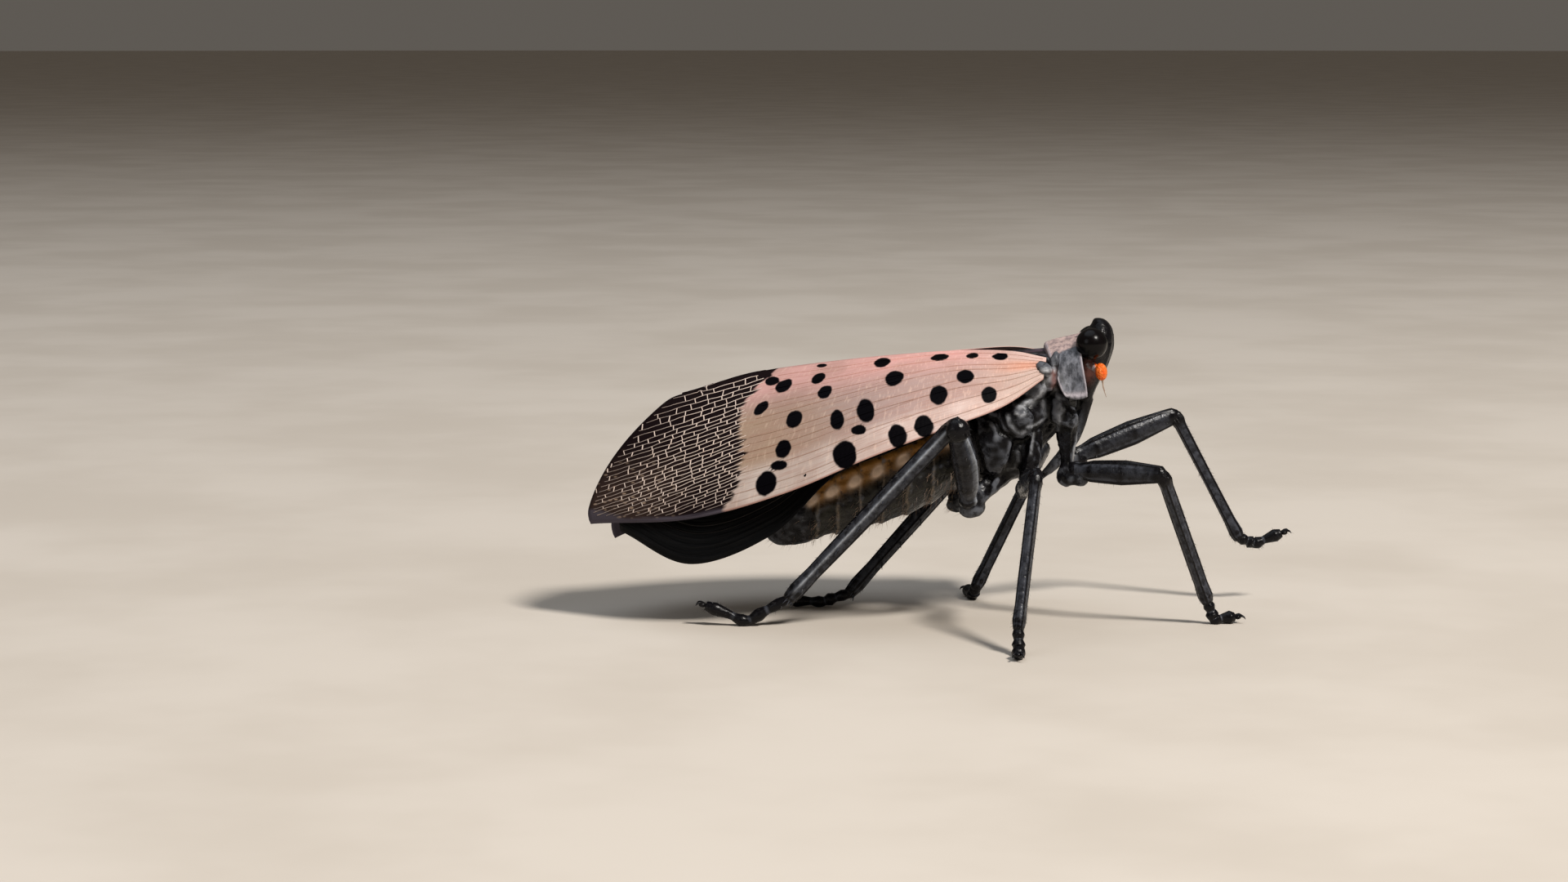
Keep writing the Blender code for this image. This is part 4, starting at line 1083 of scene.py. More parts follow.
PLEURA = (
    # middle x, middle z, lift in mm
    (2.55, 7.95, 0.06), (3.60, 9.05, 0.12), (4.30, 10.30, 0.06), (4.70, 9.45, -0.04), (5.35, 9.40, 0.05),
    (4.60, 11.35, 0.06), (5.90, 10.20, 0.0), (3.80, 7.60, -0.10), (5.15, 8.35, -0.14), (1.30, 7.60, 0.0))
SUTURE_DEPTH, SUTURE_WIDTH = 0.055, 0.10
# Each ridge of the flank is raised a little, and a highlight is painted along it.
RIDGES = (
    # how bright its painted highlight is, half width and lift in mm, then the ridge's points as x, z
    (0.52, 0.13, 0.05, ((4.87, 11.05), (4.73, 10.62), (4.51, 10.25), (4.08, 9.96), (3.58, 9.75))),
    (1.00, 0.10, 0.04, ((4.55, 11.41), (4.86, 11.38))),
    (0.33, 0.08, 0.04, ((4.98, 11.85), (5.09, 11.59), (5.13, 11.30))),
    (0.30, 0.08, 0.07, ((3.08, 9.38), (3.15, 9.02), (3.36, 8.73), (3.58, 8.59), (3.83, 8.66))),
    (0.55, 0.06, 0.05, ((3.40, 9.50), (3.60, 9.36), (3.80, 9.44))),
    (0.39, 0.07, 0.05, ((3.97, 8.88), (4.23, 8.91), (4.51, 8.99), (4.73, 9.13))),
    (0.17, 0.11, 0.04, ((4.66, 9.96), (4.69, 9.60), (4.77, 9.24))),
    (0.22, 0.10, 0.06, ((5.23, 10.40), (5.38, 10.04), (5.45, 9.60), (5.38, 9.02), (5.31, 8.66))),
    (0.30, 0.05, 0.05, ((4.23, 8.55), (4.16, 8.10), (4.12, 7.64))),
    (0.52, 0.05, 0.05, ((4.80, 8.00), (4.72, 7.57), (4.60, 7.21), (4.44, 6.80))),
    (0.52, 0.06, 0.05, ((6.30, 8.45), (6.22, 8.10), (6.10, 7.72), (5.99, 7.17), (5.92, 6.96))),
    (0.12, 0.07, 0.04, ((3.51, 7.72), (3.54, 7.28), (3.43, 6.96), (3.15, 6.88))),
    (0.10, 0.06, 0.05, ((2.30, 9.10), (2.55, 8.75), (2.60, 8.35))))
DARK_LINE, BROWN_LINE = ((4.18, 11.62), (4.80, 11.56)), ((5.06, 11.25), (5.10, 10.65))


def grain_at(points, scale, seed=0.0):
    return np.array([grain(p, scale, seed) for p in points])


def from_line(points, line):
    """Distance in the side view, in mm, from each point to a broken line."""
    flat, nearest = points[:, (0, 2)], np.full(len(points), 9.0)
    for start, end in zip(np.array(line)[:-1], np.array(line)[1:]):
        share = np.clip((flat - start) @ (end - start) / np.sum((end - start) ** 2), 0.0, 1.0)
        nearest = np.minimum(nearest, np.linalg.norm(flat - start - share[:, None] * (end - start), axis=1))
    return nearest


def ridge_lift_and_highlight(points):
    """How high the ridges of the flank stand at each point, and how bright the highlight painted along them
    is.
    """
    along, up = grain_at(points, 2.5, 5.0), grain_at(points, 2.5, 9.0)
    swayed = points + 0.05 * np.stack([along, 0.0 * along, up], axis=1)
    lift, highlight_share = np.zeros(len(points)), np.zeros(len(points))
    for highlight_strength, half_width, height, line in RIDGES:
        away = from_line(swayed, line)
        lift = np.maximum(lift, height * bell(away, 0.0, 1.3 * half_width))
        highlight_share = np.maximum(highlight_share, highlight_strength * bell(away, 0.0, half_width))
    highlight_share = highlight_share * (1.0 - bell(from_line(points, DARK_LINE), 0.0, 0.10))
    outside = np.abs(points[:, 1]) > 1.2
    return lift * outside, highlight_share * outside


def plated(points):
    """How far each point of the flank stands out, as plates that meet in sutures."""
    x, y, z = points.T
    sway_x, sway_z = (grain_at(points, 1.3, seed) * 0.22 for seed in (5.0, 9.0))
    reach = np.stack([np.hypot(x + sway_x - px, z + sway_z - pz) for px, pz, _ in PLEURA])
    order = np.argsort(reach, axis=0)
    first, second = (np.take_along_axis(reach, order[k:k + 1], axis=0)[0] for k in (0, 1))
    groove = bell(second - first, 0.0, SUTURE_WIDTH)
    lift = np.array(PLEURA)[order[0], 2]
    flank = np.clip((np.abs(y) - 1.0) / 0.5, 0.0, 1.0) * np.clip((x - 0.9) / 0.4, 0.0, 1.0)
    flank = flank * np.clip((6.5 - x) / 0.4, 0.0, 1.0)
    return flank * (lift * (1.0 - groove) - SUTURE_DEPTH * groove) + ridge_lift_and_highlight(points)[0]


def mark_body(made):
    """Write where the cheek, the flank band, its spots, the segment rims, the belly and the highlights painted
    along the flank's ridges are.
    """
    points = mesh_arrays(made)[0]
    x, y, z = points.T
    cheek = bell(x, 6.72, 0.26) * bell(z, 11.15, 0.42) * (np.abs(y) > 0.6)
    cheek = np.maximum(cheek, 0.5 * bell(from_line(points, BROWN_LINE), 0.0, 0.15) * (np.abs(y) > 1.2))
    band_z = np.interp(x, (-5.6, -5.0, -1.6, -0.6, 1.2), (5.70, 6.02, 7.62, 7.95, 8.60))
    flank = bell(z, band_z, 0.42) * (np.abs(y) > 1.6) * (x < 0.9) * (x > -5.5)
    spots, rim = np.zeros_like(x), np.zeros_like(x)
    swayed = x + 0.10 * grain_at(points, 1.8, 11.0)
    for edge in SEGMENT_EDGES:
        spots = np.maximum(spots, bell(x, edge - 0.20, 0.30) ** 2 * bell(z, band_z - 0.22, 0.26) ** 2 * 2.0)
        rim = np.maximum(rim, bell(swayed, edge + 0.06, 0.055))
    spots *= (np.abs(y) > 1.6) * (x < 0.6)
    belly = (x < 0.9) & (x > -5.4)
    rim *= belly * np.clip((band_z - z) / 0.5, 0.0, 1.0) * (0.55 + 0.45 * grain_at(points, 3.5, 2.0))
    note(made, "marks", np.clip(np.stack([cheek * 1.2, flank * 1.5, spots * 1.6], axis=1), 0.0, 1.0))
    note(made, "rims", np.stack([np.clip(rim, 0, 1), ridge_lift_and_highlight(points)[1], belly * 1.0], axis=1))


print("ridges drawn on each flank:", len(RIDGES))

# %% [markdown]
# The fused skin is softened a little, then plated, ridged and wrinkled, hardly at all on the face. Where the
# surface bulges or sinks is written to each point as `relief`, for the bloom and painted highlight on bulges
# and the painted shade in hollows to follow.

# %% One skin
BODY_VOXEL = 0.068


def fused(name, forms, finish):
    """Closed forms as one skin, by a voxel remesh worked out in millimetres."""
    points, faces = join(forms)
    mesh = bpy.data.meshes.new(name)
    mesh.from_pydata([tuple(p) for p in points], [], faces)
    made = add_object(name, mesh)
    step = made.modifiers.new("fuse", "REMESH")
    step.mode, step.voxel_size = "VOXEL", BODY_VOXEL
    settle(made).data.materials.clear()
    made.data.materials.append(finish)
    made.data.shade_smooth()
    return made


def mesh_arrays(made):
    flat = np.zeros(len(made.data.vertices) * 3)
    made.data.vertices.foreach_get("co", flat)
    edges = np.zeros(len(made.data.edges) * 2, dtype=np.int64)
    made.data.edges.foreach_get("vertices", edges)
    return flat.reshape(-1, 3), edges.reshape(-1, 2)


def neighbour_mean(values, edges):
    total, count = np.zeros_like(values), np.zeros(len(values))
    for a, b in ((0, 1), (1, 0)):
        np.add.at(total, edges[:, a], values[edges[:, b]])
        np.add.at(count, edges[:, a], 1.0)
    return total / np.maximum(count, 1.0).reshape((-1,) + (1,) * (values.ndim - 1))


def soften(points, edges, rounds):
    for _ in range(rounds):
        points = points + 0.5 * (neighbour_mean(points, edges) - points)
    return points


def normals_of(made):
    flat = np.zeros(len(made.data.vertices) * 3)
    made.data.vertex_normals.foreach_get("vector", flat)
    return flat.reshape(-1, 3)


def set_points(made, points):
    made.data.vertices.foreach_set("co", np.asarray(points).ravel())
    made.data.update()


def note_relief(made, rounds=4, scale=9.0):
    """Bulging is above 0.5, hollow below it."""
    points, edges = mesh_arrays(made)
    away = -np.einsum("ij,ij->i", neighbour_mean(points, edges) - points, normals_of(made))
    relief = away / np.mean(np.linalg.norm(points[edges[:, 0]] - points[edges[:, 1]], axis=1))
    for _ in range(rounds):
        relief = neighbour_mean(relief, edges)
    note(made, "relief", np.clip(0.5 + scale * relief, 0.0, 1.0))


body_forms = [trunk(THORAX_STATIONS, 60, 64), trunk(ABDOMEN_STATIONS, 150, 80, segment_swell),
              trunk(ABDOMEN_TIP_STATIONS, 50, 56), head_form(), bent_tube(BEAK_PATH, BEAK_RADII)]
for side in (RIGHT, LEFT):
    body_forms += [dome(*form, side) for form in PLATES + TROCHANTERS[side]]
    body_forms += [ridged_limb(*ends[side], COXA_PROFILE, 0.95, (20, 110, 200, 290), 0.16, 0.20)
                   for ends in COXAE.values()]
body = fused("body_cuticle", body_forms, BODY_CUTICLE)
points, edges = mesh_arrays(body)
points = soften(points, edges, 5)
set_points(body, points)
points = soften(points + normals_of(body) * plated(points)[:, None], edges, 1)
set_points(body, points)
wrinkles = grain_at(points, 2.6) * 0.6 + grain_at(points, 6.0, 3.0) * 0.4
calm = np.clip((6.1 - points[:, 0]) / 0.6, 0.15, 1.0)
eye_room = np.minimum(*(np.linalg.norm(points - np.array(on_head(EYE_CENTRE, side)), axis=1)
                        for side in SIDES))
socket = 0.10 * bell(eye_room, EYE_RADIUS + 0.02, 0.11)
set_points(body, points + normals_of(body) * (0.035 * wrinkles * calm + socket)[:, None])
note_relief(body)
mark_body(body)
set_points(body, (mesh_arrays(body)[0] + np.array(SHIFT)) * MM)
finish_piece(body, ["head", "thorax", "abdomen", "abdomen_tip", "rostrum"]
             + ["%s_%s_coxa" % (stage, SIDES[side]) for stage in COXAE for side in (RIGHT, LEFT)],
             "dark_cuticle")

# %% [markdown]
# ## Pronotum and scutellum
#
# The pronotum is a saddle behind the head, pale and dusty on top, greyer down its flaps, with a thin pale
# rim and painted shade in its creases. The scutellum is the dark shield between the wing roots. Both are thin
# plates between two like grids.

# %% Plates behind the head
PRONOTUM = dict(back=4.8, front=6.2, top_back=12.35, top_front=12.72, half_width=2.55, lowest=10.05,
                lean=0.75, wall=0.22, collar=0.35, notch=0.06, keel=0.10, narrowing=0.22, corner=0.14)
SCUTELLUM = dict(front=5.0, point=2.0, half_width=1.50, top=12.02, fall=0.15, wall=0.30, keel=0.09)
FLAP_DARK, FLAP_GREY = (0.030, 0.032, 0.040), (0.155, 0.160, 0.185)
TOP_PALE, TOP_DULL = (0.50, 0.37, 0.34), (0.24, 0.18, 0.18)
EDGING_PALE, CREASE_SHADE, PLUM = (0.40, 0.36, 0.39), (0.02, 0.016, 0.02), (0.075, 0.042, 0.060)


def plate(name, outer, inner, finish, edging):
    """A closed plate between two grids of points. edging: how pale its rim is at each of them."""
    made = place(name, *slab(outer, inner), finish)
    note(made, "edging", np.tile(edging.ravel(), 2))
    rounding = made.modifiers.new("rounding", "BEVEL")
    rounding.width, rounding.segments, rounding.limit_method = 0.05 * MM, 2, "ANGLE"
    return settle(made)


def pronotum_grid(shape, rows=26, columns=120):
    share, turn = np.meshgrid(np.linspace(0.0, 1.0, rows), np.linspace(-0.5 * np.pi, 0.5 * np.pi, columns),
                              indexing="ij")
    down, away = 1.0 - np.cos(turn), np.abs(turn)
    length = (shape["front"] - shape["back"]) * (1.0 - shape["narrowing"] * down)
    x = shape["back"] + length * share + shape["lean"] * down
    x = x + shape["collar"] * share * np.cos(turn) ** 6 + shape["notch"] * (1.0 - share) * np.cos(turn) ** 4
    low_corner = np.clip((away - 1.25) / 0.32, 0.0, 1.0)
    x = x + low_corner ** 2 * 0.12 * (0.5 - share)
    tall = shape["top_back"] + (shape["top_front"] - shape["top_back"]) * share - shape["lowest"]
    rim = bell(share, 0.04, 0.05) + bell(share, 0.96, 0.05) + bell(away, 1.53, 0.035)
    crease = bell(away, 0.72, 0.06) - 0.6 * bell(away, 0.58, 0.07)
    swell = 0.045 * np.minimum(rim, 1.2) + 0.02 * crease + shape["keel"] * bell(turn, 0.0, 0.07)
    swell = swell - 0.10 * bell(away, 1.20, 0.16) * np.sin(np.pi * share)
    foot = shape["lowest"] + shape["corner"] * low_corner ** 2 * (2.0 * share - 1.0) ** 2
    sag = 0.14 * (1.0 - share) ** 8 * np.cos(turn) ** 4
    outer, inner = (np.stack([x, (shape["half_width"] + more) * np.sin(turn),
                              foot + (tall + more) * np.cos(turn) - sag], axis=-1)
                    for more in (swell - 0.03, -shape["wall"]))
    edging = np.maximum(np.maximum(bell(share, 0.03, 0.035), bell(share, 0.97, 0.035)),
                        bell(away, 1.49, 0.05))
    return outer, inner, edging


def scutellum_grid(shape, rows=40, columns=61):
    share, across = np.meshgrid(np.linspace(0.0, 1.0, rows), np.linspace(-1.0, 1.0, columns), indexing="ij")
    x = shape["front"] + (shape["point"] - shape["front"]) * share
    half = shape["half_width"] * (1.0 - share ** 1.3) + 0.06
    keel = sum(bell(across, at, 0.06) for at in (-0.62, 0.0, 0.62)) * shape["keel"] * (1.0 - share)
    height = shape["top"] - shape["fall"] * share - 0.28 * half * across ** 2
    outer, inner = (np.stack([x, half * across, height + more], axis=-1) for more in (keel, -shape["wall"]))
    return outer, inner, np.zeros_like(x)


dusty = Recipe("pronotum_cuticle")
dusty_x, _, dusty_z = dusty.drawing.parts()
on_top = (dusty_z - dusty_x * 0.42 + dusty.drawing.noise(2.0) * 0.30).ease(9.82, 9.95)
speck = dusty.drawing.times(1.5, 1.0, 0.6).noise(3.4, 4.0, 0.6)
dusty_colour = on_top.between(speck.ease(0.35, 0.68).between(FLAP_DARK, FLAP_GREY),
                              speck.ease(0.38, 0.66).between(TOP_PALE, TOP_DULL))
pale_rim = dusty.attribute("edging") * speck.ease(0.30, 0.55, 0.25, 0.9)
dusty_colour = pale_rim.between(dusty_colour, EDGING_PALE)
# The colour darkens in the creases as painted shade.
dusty_colour = dusty.attribute("relief").ease(0.40, 0.20).between(dusty_colour, CREASE_SHADE)
PRONOTUM_CUTICLE = dusty.finish(Base_Color=dusty_colour, Normal=cuticle_bump(dusty, 0.05), Roughness=0.5,
                                Specular_IOR_Level=0.30)
plum = Recipe("scutellum_cuticle")
plum_share = plum.drawing.noise(2.5).ease(0.40, 0.65, 0.0, 0.7)
plum_colour = plum_share.between(cuticle_colour(plum, 0.4), PLUM)
SCUTELLUM_CUTICLE = plum.finish(Base_Color=plum_colour, Normal=cuticle_bump(plum, 0.05), Roughness=0.42)
for name, (outer, inner, edging), finish, slot in (
        ("pronotum", pronotum_grid(PRONOTUM), PRONOTUM_CUTICLE, "pronotum"),
        ("scutellum", scutellum_grid(SCUTELLUM), SCUTELLUM_CUTICLE, "dark_cuticle")):
    made = plate(name + "_plate", outer, inner, finish, edging)
    note_relief(made, 3, 6.0)
    finish_piece(made, [name], slot)

# %% [markdown]
# ## Eyes and antennae
#
# The eyes are large glossy globes of thousands of facets, too fine to see one by one. Below each sits the
# antenna: a short stalk, a bright orange bulb studded with sense organs, and one thin bristle.

# %% Eyes and antennae
ANTENNA_ROOT, ANTENNA_BULB, ANTENNA_TIP = (6.75, 1.0, 11.5), (7.24, 1.72, 11.20), (7.46, 1.95, 10.1)
BULB_RADIUS, BULB_STRETCH = 0.27, 1.45
STALK_PROFILE = ((0.0, 0.24), (0.35, 0.17), (0.5, 0.18), (0.9, 0.14))
BRISTLE_RADII = (0.075, 0.040, 0.022, 0.010)
EYE_BLACK, EYE_BROWN = (0.0008, 0.0007, 0.0008), (0.0035, 0.0024, 0.0028)
BULB_ORANGE, BULB_YELLOW, STUD_RED = (0.95, 0.13, 0.006), (0.86, 0.20, 0.02), (0.55, 0.05, 0.003)
STALK_BROWN, STALK_GREY = (0.30, 0.13, 0.09), (0.55, 0.50, 0.54)

glossy = Recipe("eye_gloss")
EYE_GLOSS = glossy.finish(
    Base_Color=glossy.drawing.noise(1.3, 2.0).ease(0.40, 0.65).between(EYE_BLACK, EYE_BROWN),
    Normal=glossy.bump(glossy.drawing.cells(24.0), 0.004, 0.20), Specular_IOR_Level=0.15,
    Roughness=glossy.drawing.noise(9.0).ease(0.35, 0.7, 0.20, 0.27))

orange = Recipe("antenna_orange")
studs, blush = orange.drawing.cells(13.0), orange.drawing.noise(4.0).ease(0.35, 0.65)
bulb_colour = studs.ease(0.28, 0.06).between(blush.between(BULB_ORANGE, BULB_YELLOW), STUD_RED)
stalk_share = orange.drawing.parts()[0].ease(7.02, 6.94)
ANTENNA_ORANGE = orange.finish(
    Base_Color=stalk_share.between(bulb_colour, blush.between(STALK_BROWN, STALK_GREY)),
    Normal=orange.bump(studs, 0.05, 0.8), Roughness=0.38, Subsurface_Weight=0.25, Subsurface_Scale=0.0002)
thin = Recipe("bristle_pale")
PALE_BRISTLE = thin.finish(Base_Color=thin.drawing.noise(6.0).between((0.50, 0.36, 0.26), (0.20, 0.12, 0.08)),
                           Roughness=0.45)

for side, word in SIDES.items():
    globe = dome(EYE_CENTRE, (EYE_RADIUS,) * 3, (0, 0), side, 72, 48, HEAD_TURN[side])
    finish_piece(place("eye_%s_globe" % word, *globe, EYE_GLOSS), ["eye_" + word], "eye")
    root, bulb, tip = (on_head(p, side) for p in (ANTENNA_ROOT, ANTENNA_BULB, ANTENNA_TIP))
    stalk = ridged_limb(root, bulb, STALK_PROFILE, rows=24, sides=28, rise=0.0)
    knob = dome(ANTENNA_BULB, (BULB_RADIUS, BULB_RADIUS, BULB_RADIUS * BULB_STRETCH), (0, -8), side, 48, 32,
                HEAD_TURN[side])
    made = place("antenna_%s_bulb" % word, *join([stalk, knob]), ANTENNA_ORANGE)
    finish_piece(made, ["antenna_" + word], "antenna")
    path = (bulb, bulb.lerp(tip, 0.3), bulb.lerp(tip, 0.6) + Vector((-0.05, 0.0, 0.0)), tip)
    made = place("antenna_%s_bristle" % word, *bent_tube(path, BRISTLE_RADII, 24, 10), PALE_BRISTLE)
    finish_piece(made, [], "antenna")

# %% [markdown]
# ## Legs
#
# Each leg is a chain of ridged tubes: the femur swells towards the knee, the tibia is four-sided with sharp
# edges, and the foot has three joints, two claws and a soft pad. The ridges are part of the section of each
# tube, so the colour can follow them: black on the ridges, and a painted highlight along one ridge of each
# hind femur and shin. The soles are cut flat at the level of the floor.

# %% Leg sections
LEGS = {
    # trochanter, knee, ankle, heel, toe
    ("fore", RIGHT): ((5.78, -1.80, 6.85), (9.72, -4.30, 6.97), (12.02, -2.20, 1.00), (12.35, -2.10, 0.22),
                      (13.25, -1.95, 0.30)),
    ("fore", LEFT): ((6.05, 1.80, 6.85), (11.10, 3.20, 8.72), (14.15, 3.50, 3.00), (14.9, 3.60, 2.75),
                     (16.10, 3.70, 3.20)),
    ("mid", RIGHT): ((3.70, -2.65, 6.05), (4.05, -6.8, 7.25), (3.15, -9.3, 1.05), (3.15, -9.7, 0.22),
                     (3.05, -10.9, 0.30)),
    ("mid", LEFT): ((4.05, 2.65, 6.05), (5.30, 5.1, 7.00), (2.10, 3.9, 0.62), (2.0, 4.3, 0.22),
                    (1.8, 5.5, 0.30)),
    ("hind", RIGHT): ((1.40, -2.10, 5.35), (0.62, -5.4, 9.30), (-6.55, -2.7, 1.22), (-8.4, -2.6, 0.24),
                      (-10.2, -2.5, 0.90)),
    ("hind", LEFT): ((0.95, 1.95, 4.95), (3.40, 4.5, 8.35), (-3.75, 2.4, 0.62), (-5.0, 2.4, 0.24),
                     (-6.5, 2.4, 0.30)),
}
FEMUR_PROFILE = ((-0.02, 0.20), (0.03, 0.38), (0.08, 0.44), (0.13, 0.36), (0.17, 0.38), (0.26, 0.47),
                 (0.6, 0.53), (0.86, 0.44), (0.94, 0.42), (0.99, 0.40), (1.03, 0.22))
TIBIA_PROFILE = ((-0.03, 0.18), (0.0, 0.32), (0.04, 0.37), (0.09, 0.30), (0.5, 0.28), (0.85, 0.30),
                 (0.95, 0.36), (1.0, 0.30), (1.02, 0.16))
FEMUR_FLAT, TIBIA_FLAT, HIND_BREADTH, HIND_TIBIA_BREADTH = 0.80, 0.85, 1.25, 1.15
FEMUR_RIDGES, TIBIA_RIDGES = (60, 120, 240, 300), (40, 140, 220, 320)
HIND_FEMUR_RIDGES, HIND_TIBIA_RIDGES = (200, 340, 20, 160), (0, 90, 180, 270)
HIND_BOW, HIGHLIGHT_SPREAD = 0.20, 0.20
HIND_KNEE, HIND_KNEE_SIZE = Vector((0.12, 0.0, -0.26)), (0.54, 0.48, 0.53)
# The pale colour beside the slate is a highlight painted along one ridge of each hind femur and shin.
SLATE, LEG_HIGHLIGHT = (0.050, 0.054, 0.067), (0.36, 0.39, 0.44)
TARSUS_RADII = (0.20, 0.27, 0.20, 0.30, 0.21, 0.28, 0.18, 0.24, 0.30, 0.20)
FEMUR_GRID, TIBIA_GRID = (80, 64), (120, 64)

bloomy = Recipe("leg_cuticle")
highlight_share, near_knee, _ = bloomy.attribute("trim", "Vector").parts()
blotch = bloomy.drawing.noise(3.0, 5.0, 0.65).ease(0.34, 0.64)
on_side = bloomy.attribute("relief").ease(0.66, 0.52) * near_knee.ease(0.6, 0.0)
leg_colour = (on_side * blotch.ease(0.0, 1.0, 0.25, 1.0)).between(BLACK, SLATE)
# A highlight is painted along one ridge of each hind femur and shin.
leg_colour = (highlight_share * blotch.ease(0.0, 1.0, 0.6, 1.0)).between(leg_colour, LEG_HIGHLIGHT)
LEG_CUTICLE = bloomy.finish(
    Base_Color=leg_colour, Normal=cuticle_bump(bloomy, 0.05), Specular_IOR_Level=0.18,
    Roughness=bloomy.drawing.noise(5.0).ease(0.3, 0.7, 0.22, 0.40))


def claw(root, ahead, aside):
    """A curved hook that tapers to a point."""
    path = (root, root + ahead * 0.26 + aside * 0.10 + UP * 0.05,
            root + ahead * 0.42 + aside * 0.20 - UP * 0.01, root + ahead * 0.50 + aside * 0.26 - UP * 0.13)
    return bent_tube(path, (0.085, 0.070, 0.045, 0.008), 16, 12)


def foot(ankle, heel, toe):
    """Three joints from the ankle to the toe, a pad and two claws."""
    path = (ankle, ankle.lerp(heel, 0.55), heel, heel.lerp(toe, 0.5), toe)
    ahead = (toe - heel).normalized()
    aside = ahead.cross(UP).normalized()
    pad = dome(toe + ahead * 0.16 - UP * 0.02, (0.16, 0.17, 0.12), (0, 0), LEFT, 20, 12)
    claws = [claw(toe - ahead * 0.05, ahead, way) for way in (aside, -aside)]
    return [bent_tube(path, TARSUS_RADII, 60, 28), pad] + claws


def limb_trim(profile, grid, highlight_turn, knee):
    """For each point of a limb: how bright the highlight painted along its ridge is, and how near it is to the
    knee.
    """
    rows, sides = grid
    share, turn = np.meshgrid(np.linspace(profile[0][0], profile[-1][0], rows),
                              2.0 * np.pi * np.arange(sides) / sides, indexing="ij")
    pale = np.zeros_like(share)
    if highlight_turn is not None:
        off = (turn - math.radians(highlight_turn) + np.pi) % (2.0 * np.pi) - np.pi
        pale = (bell(off, 0.0, HIGHLIGHT_SPREAD) * np.clip(share / 0.04, 0.0, 1.0)
                * np.clip((0.97 - share) / 0.06, 0.0, 1.0))
    near = bell(share, knee, 0.07)
    on_skin = np.stack([pale * (1.0 - near), near, 0.0 * near], axis=-1).reshape(-1, 3)
    return np.vstack([on_skin, np.zeros((2, 3))])


def leg(stage, side):
    trochanter, knee, ankle, heel, toe = (Vector(p) for p in LEGS[stage, side])
    hind = stage == "hind"
    femur = [(share, radius * (HIND_BREADTH if hind else 1.0)) for share, radius in FEMUR_PROFILE]
    tibia = [(share, radius * (HIND_TIBIA_BREADTH if hind and 0.05 < share < 0.8 else 1.0))
             for share, radius in TIBIA_PROFILE]
    femur_ridges, tibia_ridges, bow = FEMUR_RIDGES, TIBIA_RIDGES, 0.0
    if hind:
        femur_ridges, tibia_ridges, bow = HIND_FEMUR_RIDGES, HIND_TIBIA_RIDGES, HIND_BOW * side
    forms = [ridged_limb(trochanter, knee, femur, FEMUR_FLAT, femur_ridges, 0.15, 0.13, *FEMUR_GRID, bow),
             ridged_limb(knee, ankle, tibia, TIBIA_FLAT, tibia_ridges, 0.20, 0.15, *TIBIA_GRID)]
    highlight_turns = ((200, 180) if side == RIGHT else (340, 0)) if hind else (None, None)
    trims = [limb_trim(FEMUR_PROFILE, FEMUR_GRID, highlight_turns[0], 1.0),
             limb_trim(TIBIA_PROFILE, TIBIA_GRID, highlight_turns[1], 0.0)]
    if hind:
        forms.append(dome(knee + HIND_KNEE, HIND_KNEE_SIZE, (0, 0), LEFT, 40, 24))
        trims.append(np.tile((0.0, 1.0, 0.0), (len(forms[-1][0]), 1)))
    points, faces = join(forms + foot(ankle, heel, toe))
    points = [Vector((p.x, p.y, max(p.z, 0.0))) for p in points]
    made = place("%s_%s_leg" % (stage, SIDES[side]), points, faces, LEG_CUTICLE)
    note_relief(made, 2, 5.0)
    trims.append(np.zeros((len(points) - sum(map(len, trims)), 3)))
    note(made, "trim", np.vstack(trims))
    nodes = ["%s_%s_%s" % (stage, SIDES[side], part) for part in ("femur", "tibia", "tarsus")]
    return finish_piece(made, nodes, "leg")


legs = {key: leg(*key) for key in LEGS}

# %% [markdown]
# ## Spines and bristles
#
# Spines stand in two rows along the hind shins and in a crown at the end of each. Fine bristles cover the legs
# and hang from the belly. Two Geometry Nodes trees grow them. The first plants a tapered prism at each given
# point, turned the way that point asks. The second scatters the points over a surface by itself.

# %% Trees that plant spines and bristles
BRISTLE_SIDES, BRISTLE_LEVELS, TIP_SHARE = 3, 2, 0.10


def plant(tree, points, aim, size, finish, end):
    """Prisms at points, turned along aim, realized and given their finish."""
    prism = node_with(tree, "GeometryNodeMeshCone", {
        "Vertices": BRISTLE_SIDES, "Side Segments": BRISTLE_LEVELS, "Radius Top": TIP_SHARE,
        "Radius Bottom": 1.0, "Depth": 1.0})
    turning = node_with(tree, "FunctionNodeAlignRotationToVector", {"Vector": aim}, axis="Z")
    planted = node_with(tree, "GeometryNodeInstanceOnPoints", {
        "Instance": prism.outputs["Mesh"], "Rotation": turning.outputs["Rotation"], "Scale": size})
    end_tree(tree, points, (planted,), finish, end)


def vector_step(tree, operation, values):
    return node_with(tree, "ShaderNodeVectorMath", values, operation=operation).outputs[0]


spine_tree, given, end = new_tree("planted_spines", (
    ("Length scale", "Float", 1.0), ("Finish", "Material", None)))
long = vector_step(spine_tree, "SCALE", {
    0: read_named(spine_tree, "size", "FLOAT_VECTOR"), "Scale": given["Length scale"]})
plant(spine_tree, given[0], read_named(spine_tree, "aim", "FLOAT_VECTOR"), long, given["Finish"], end)

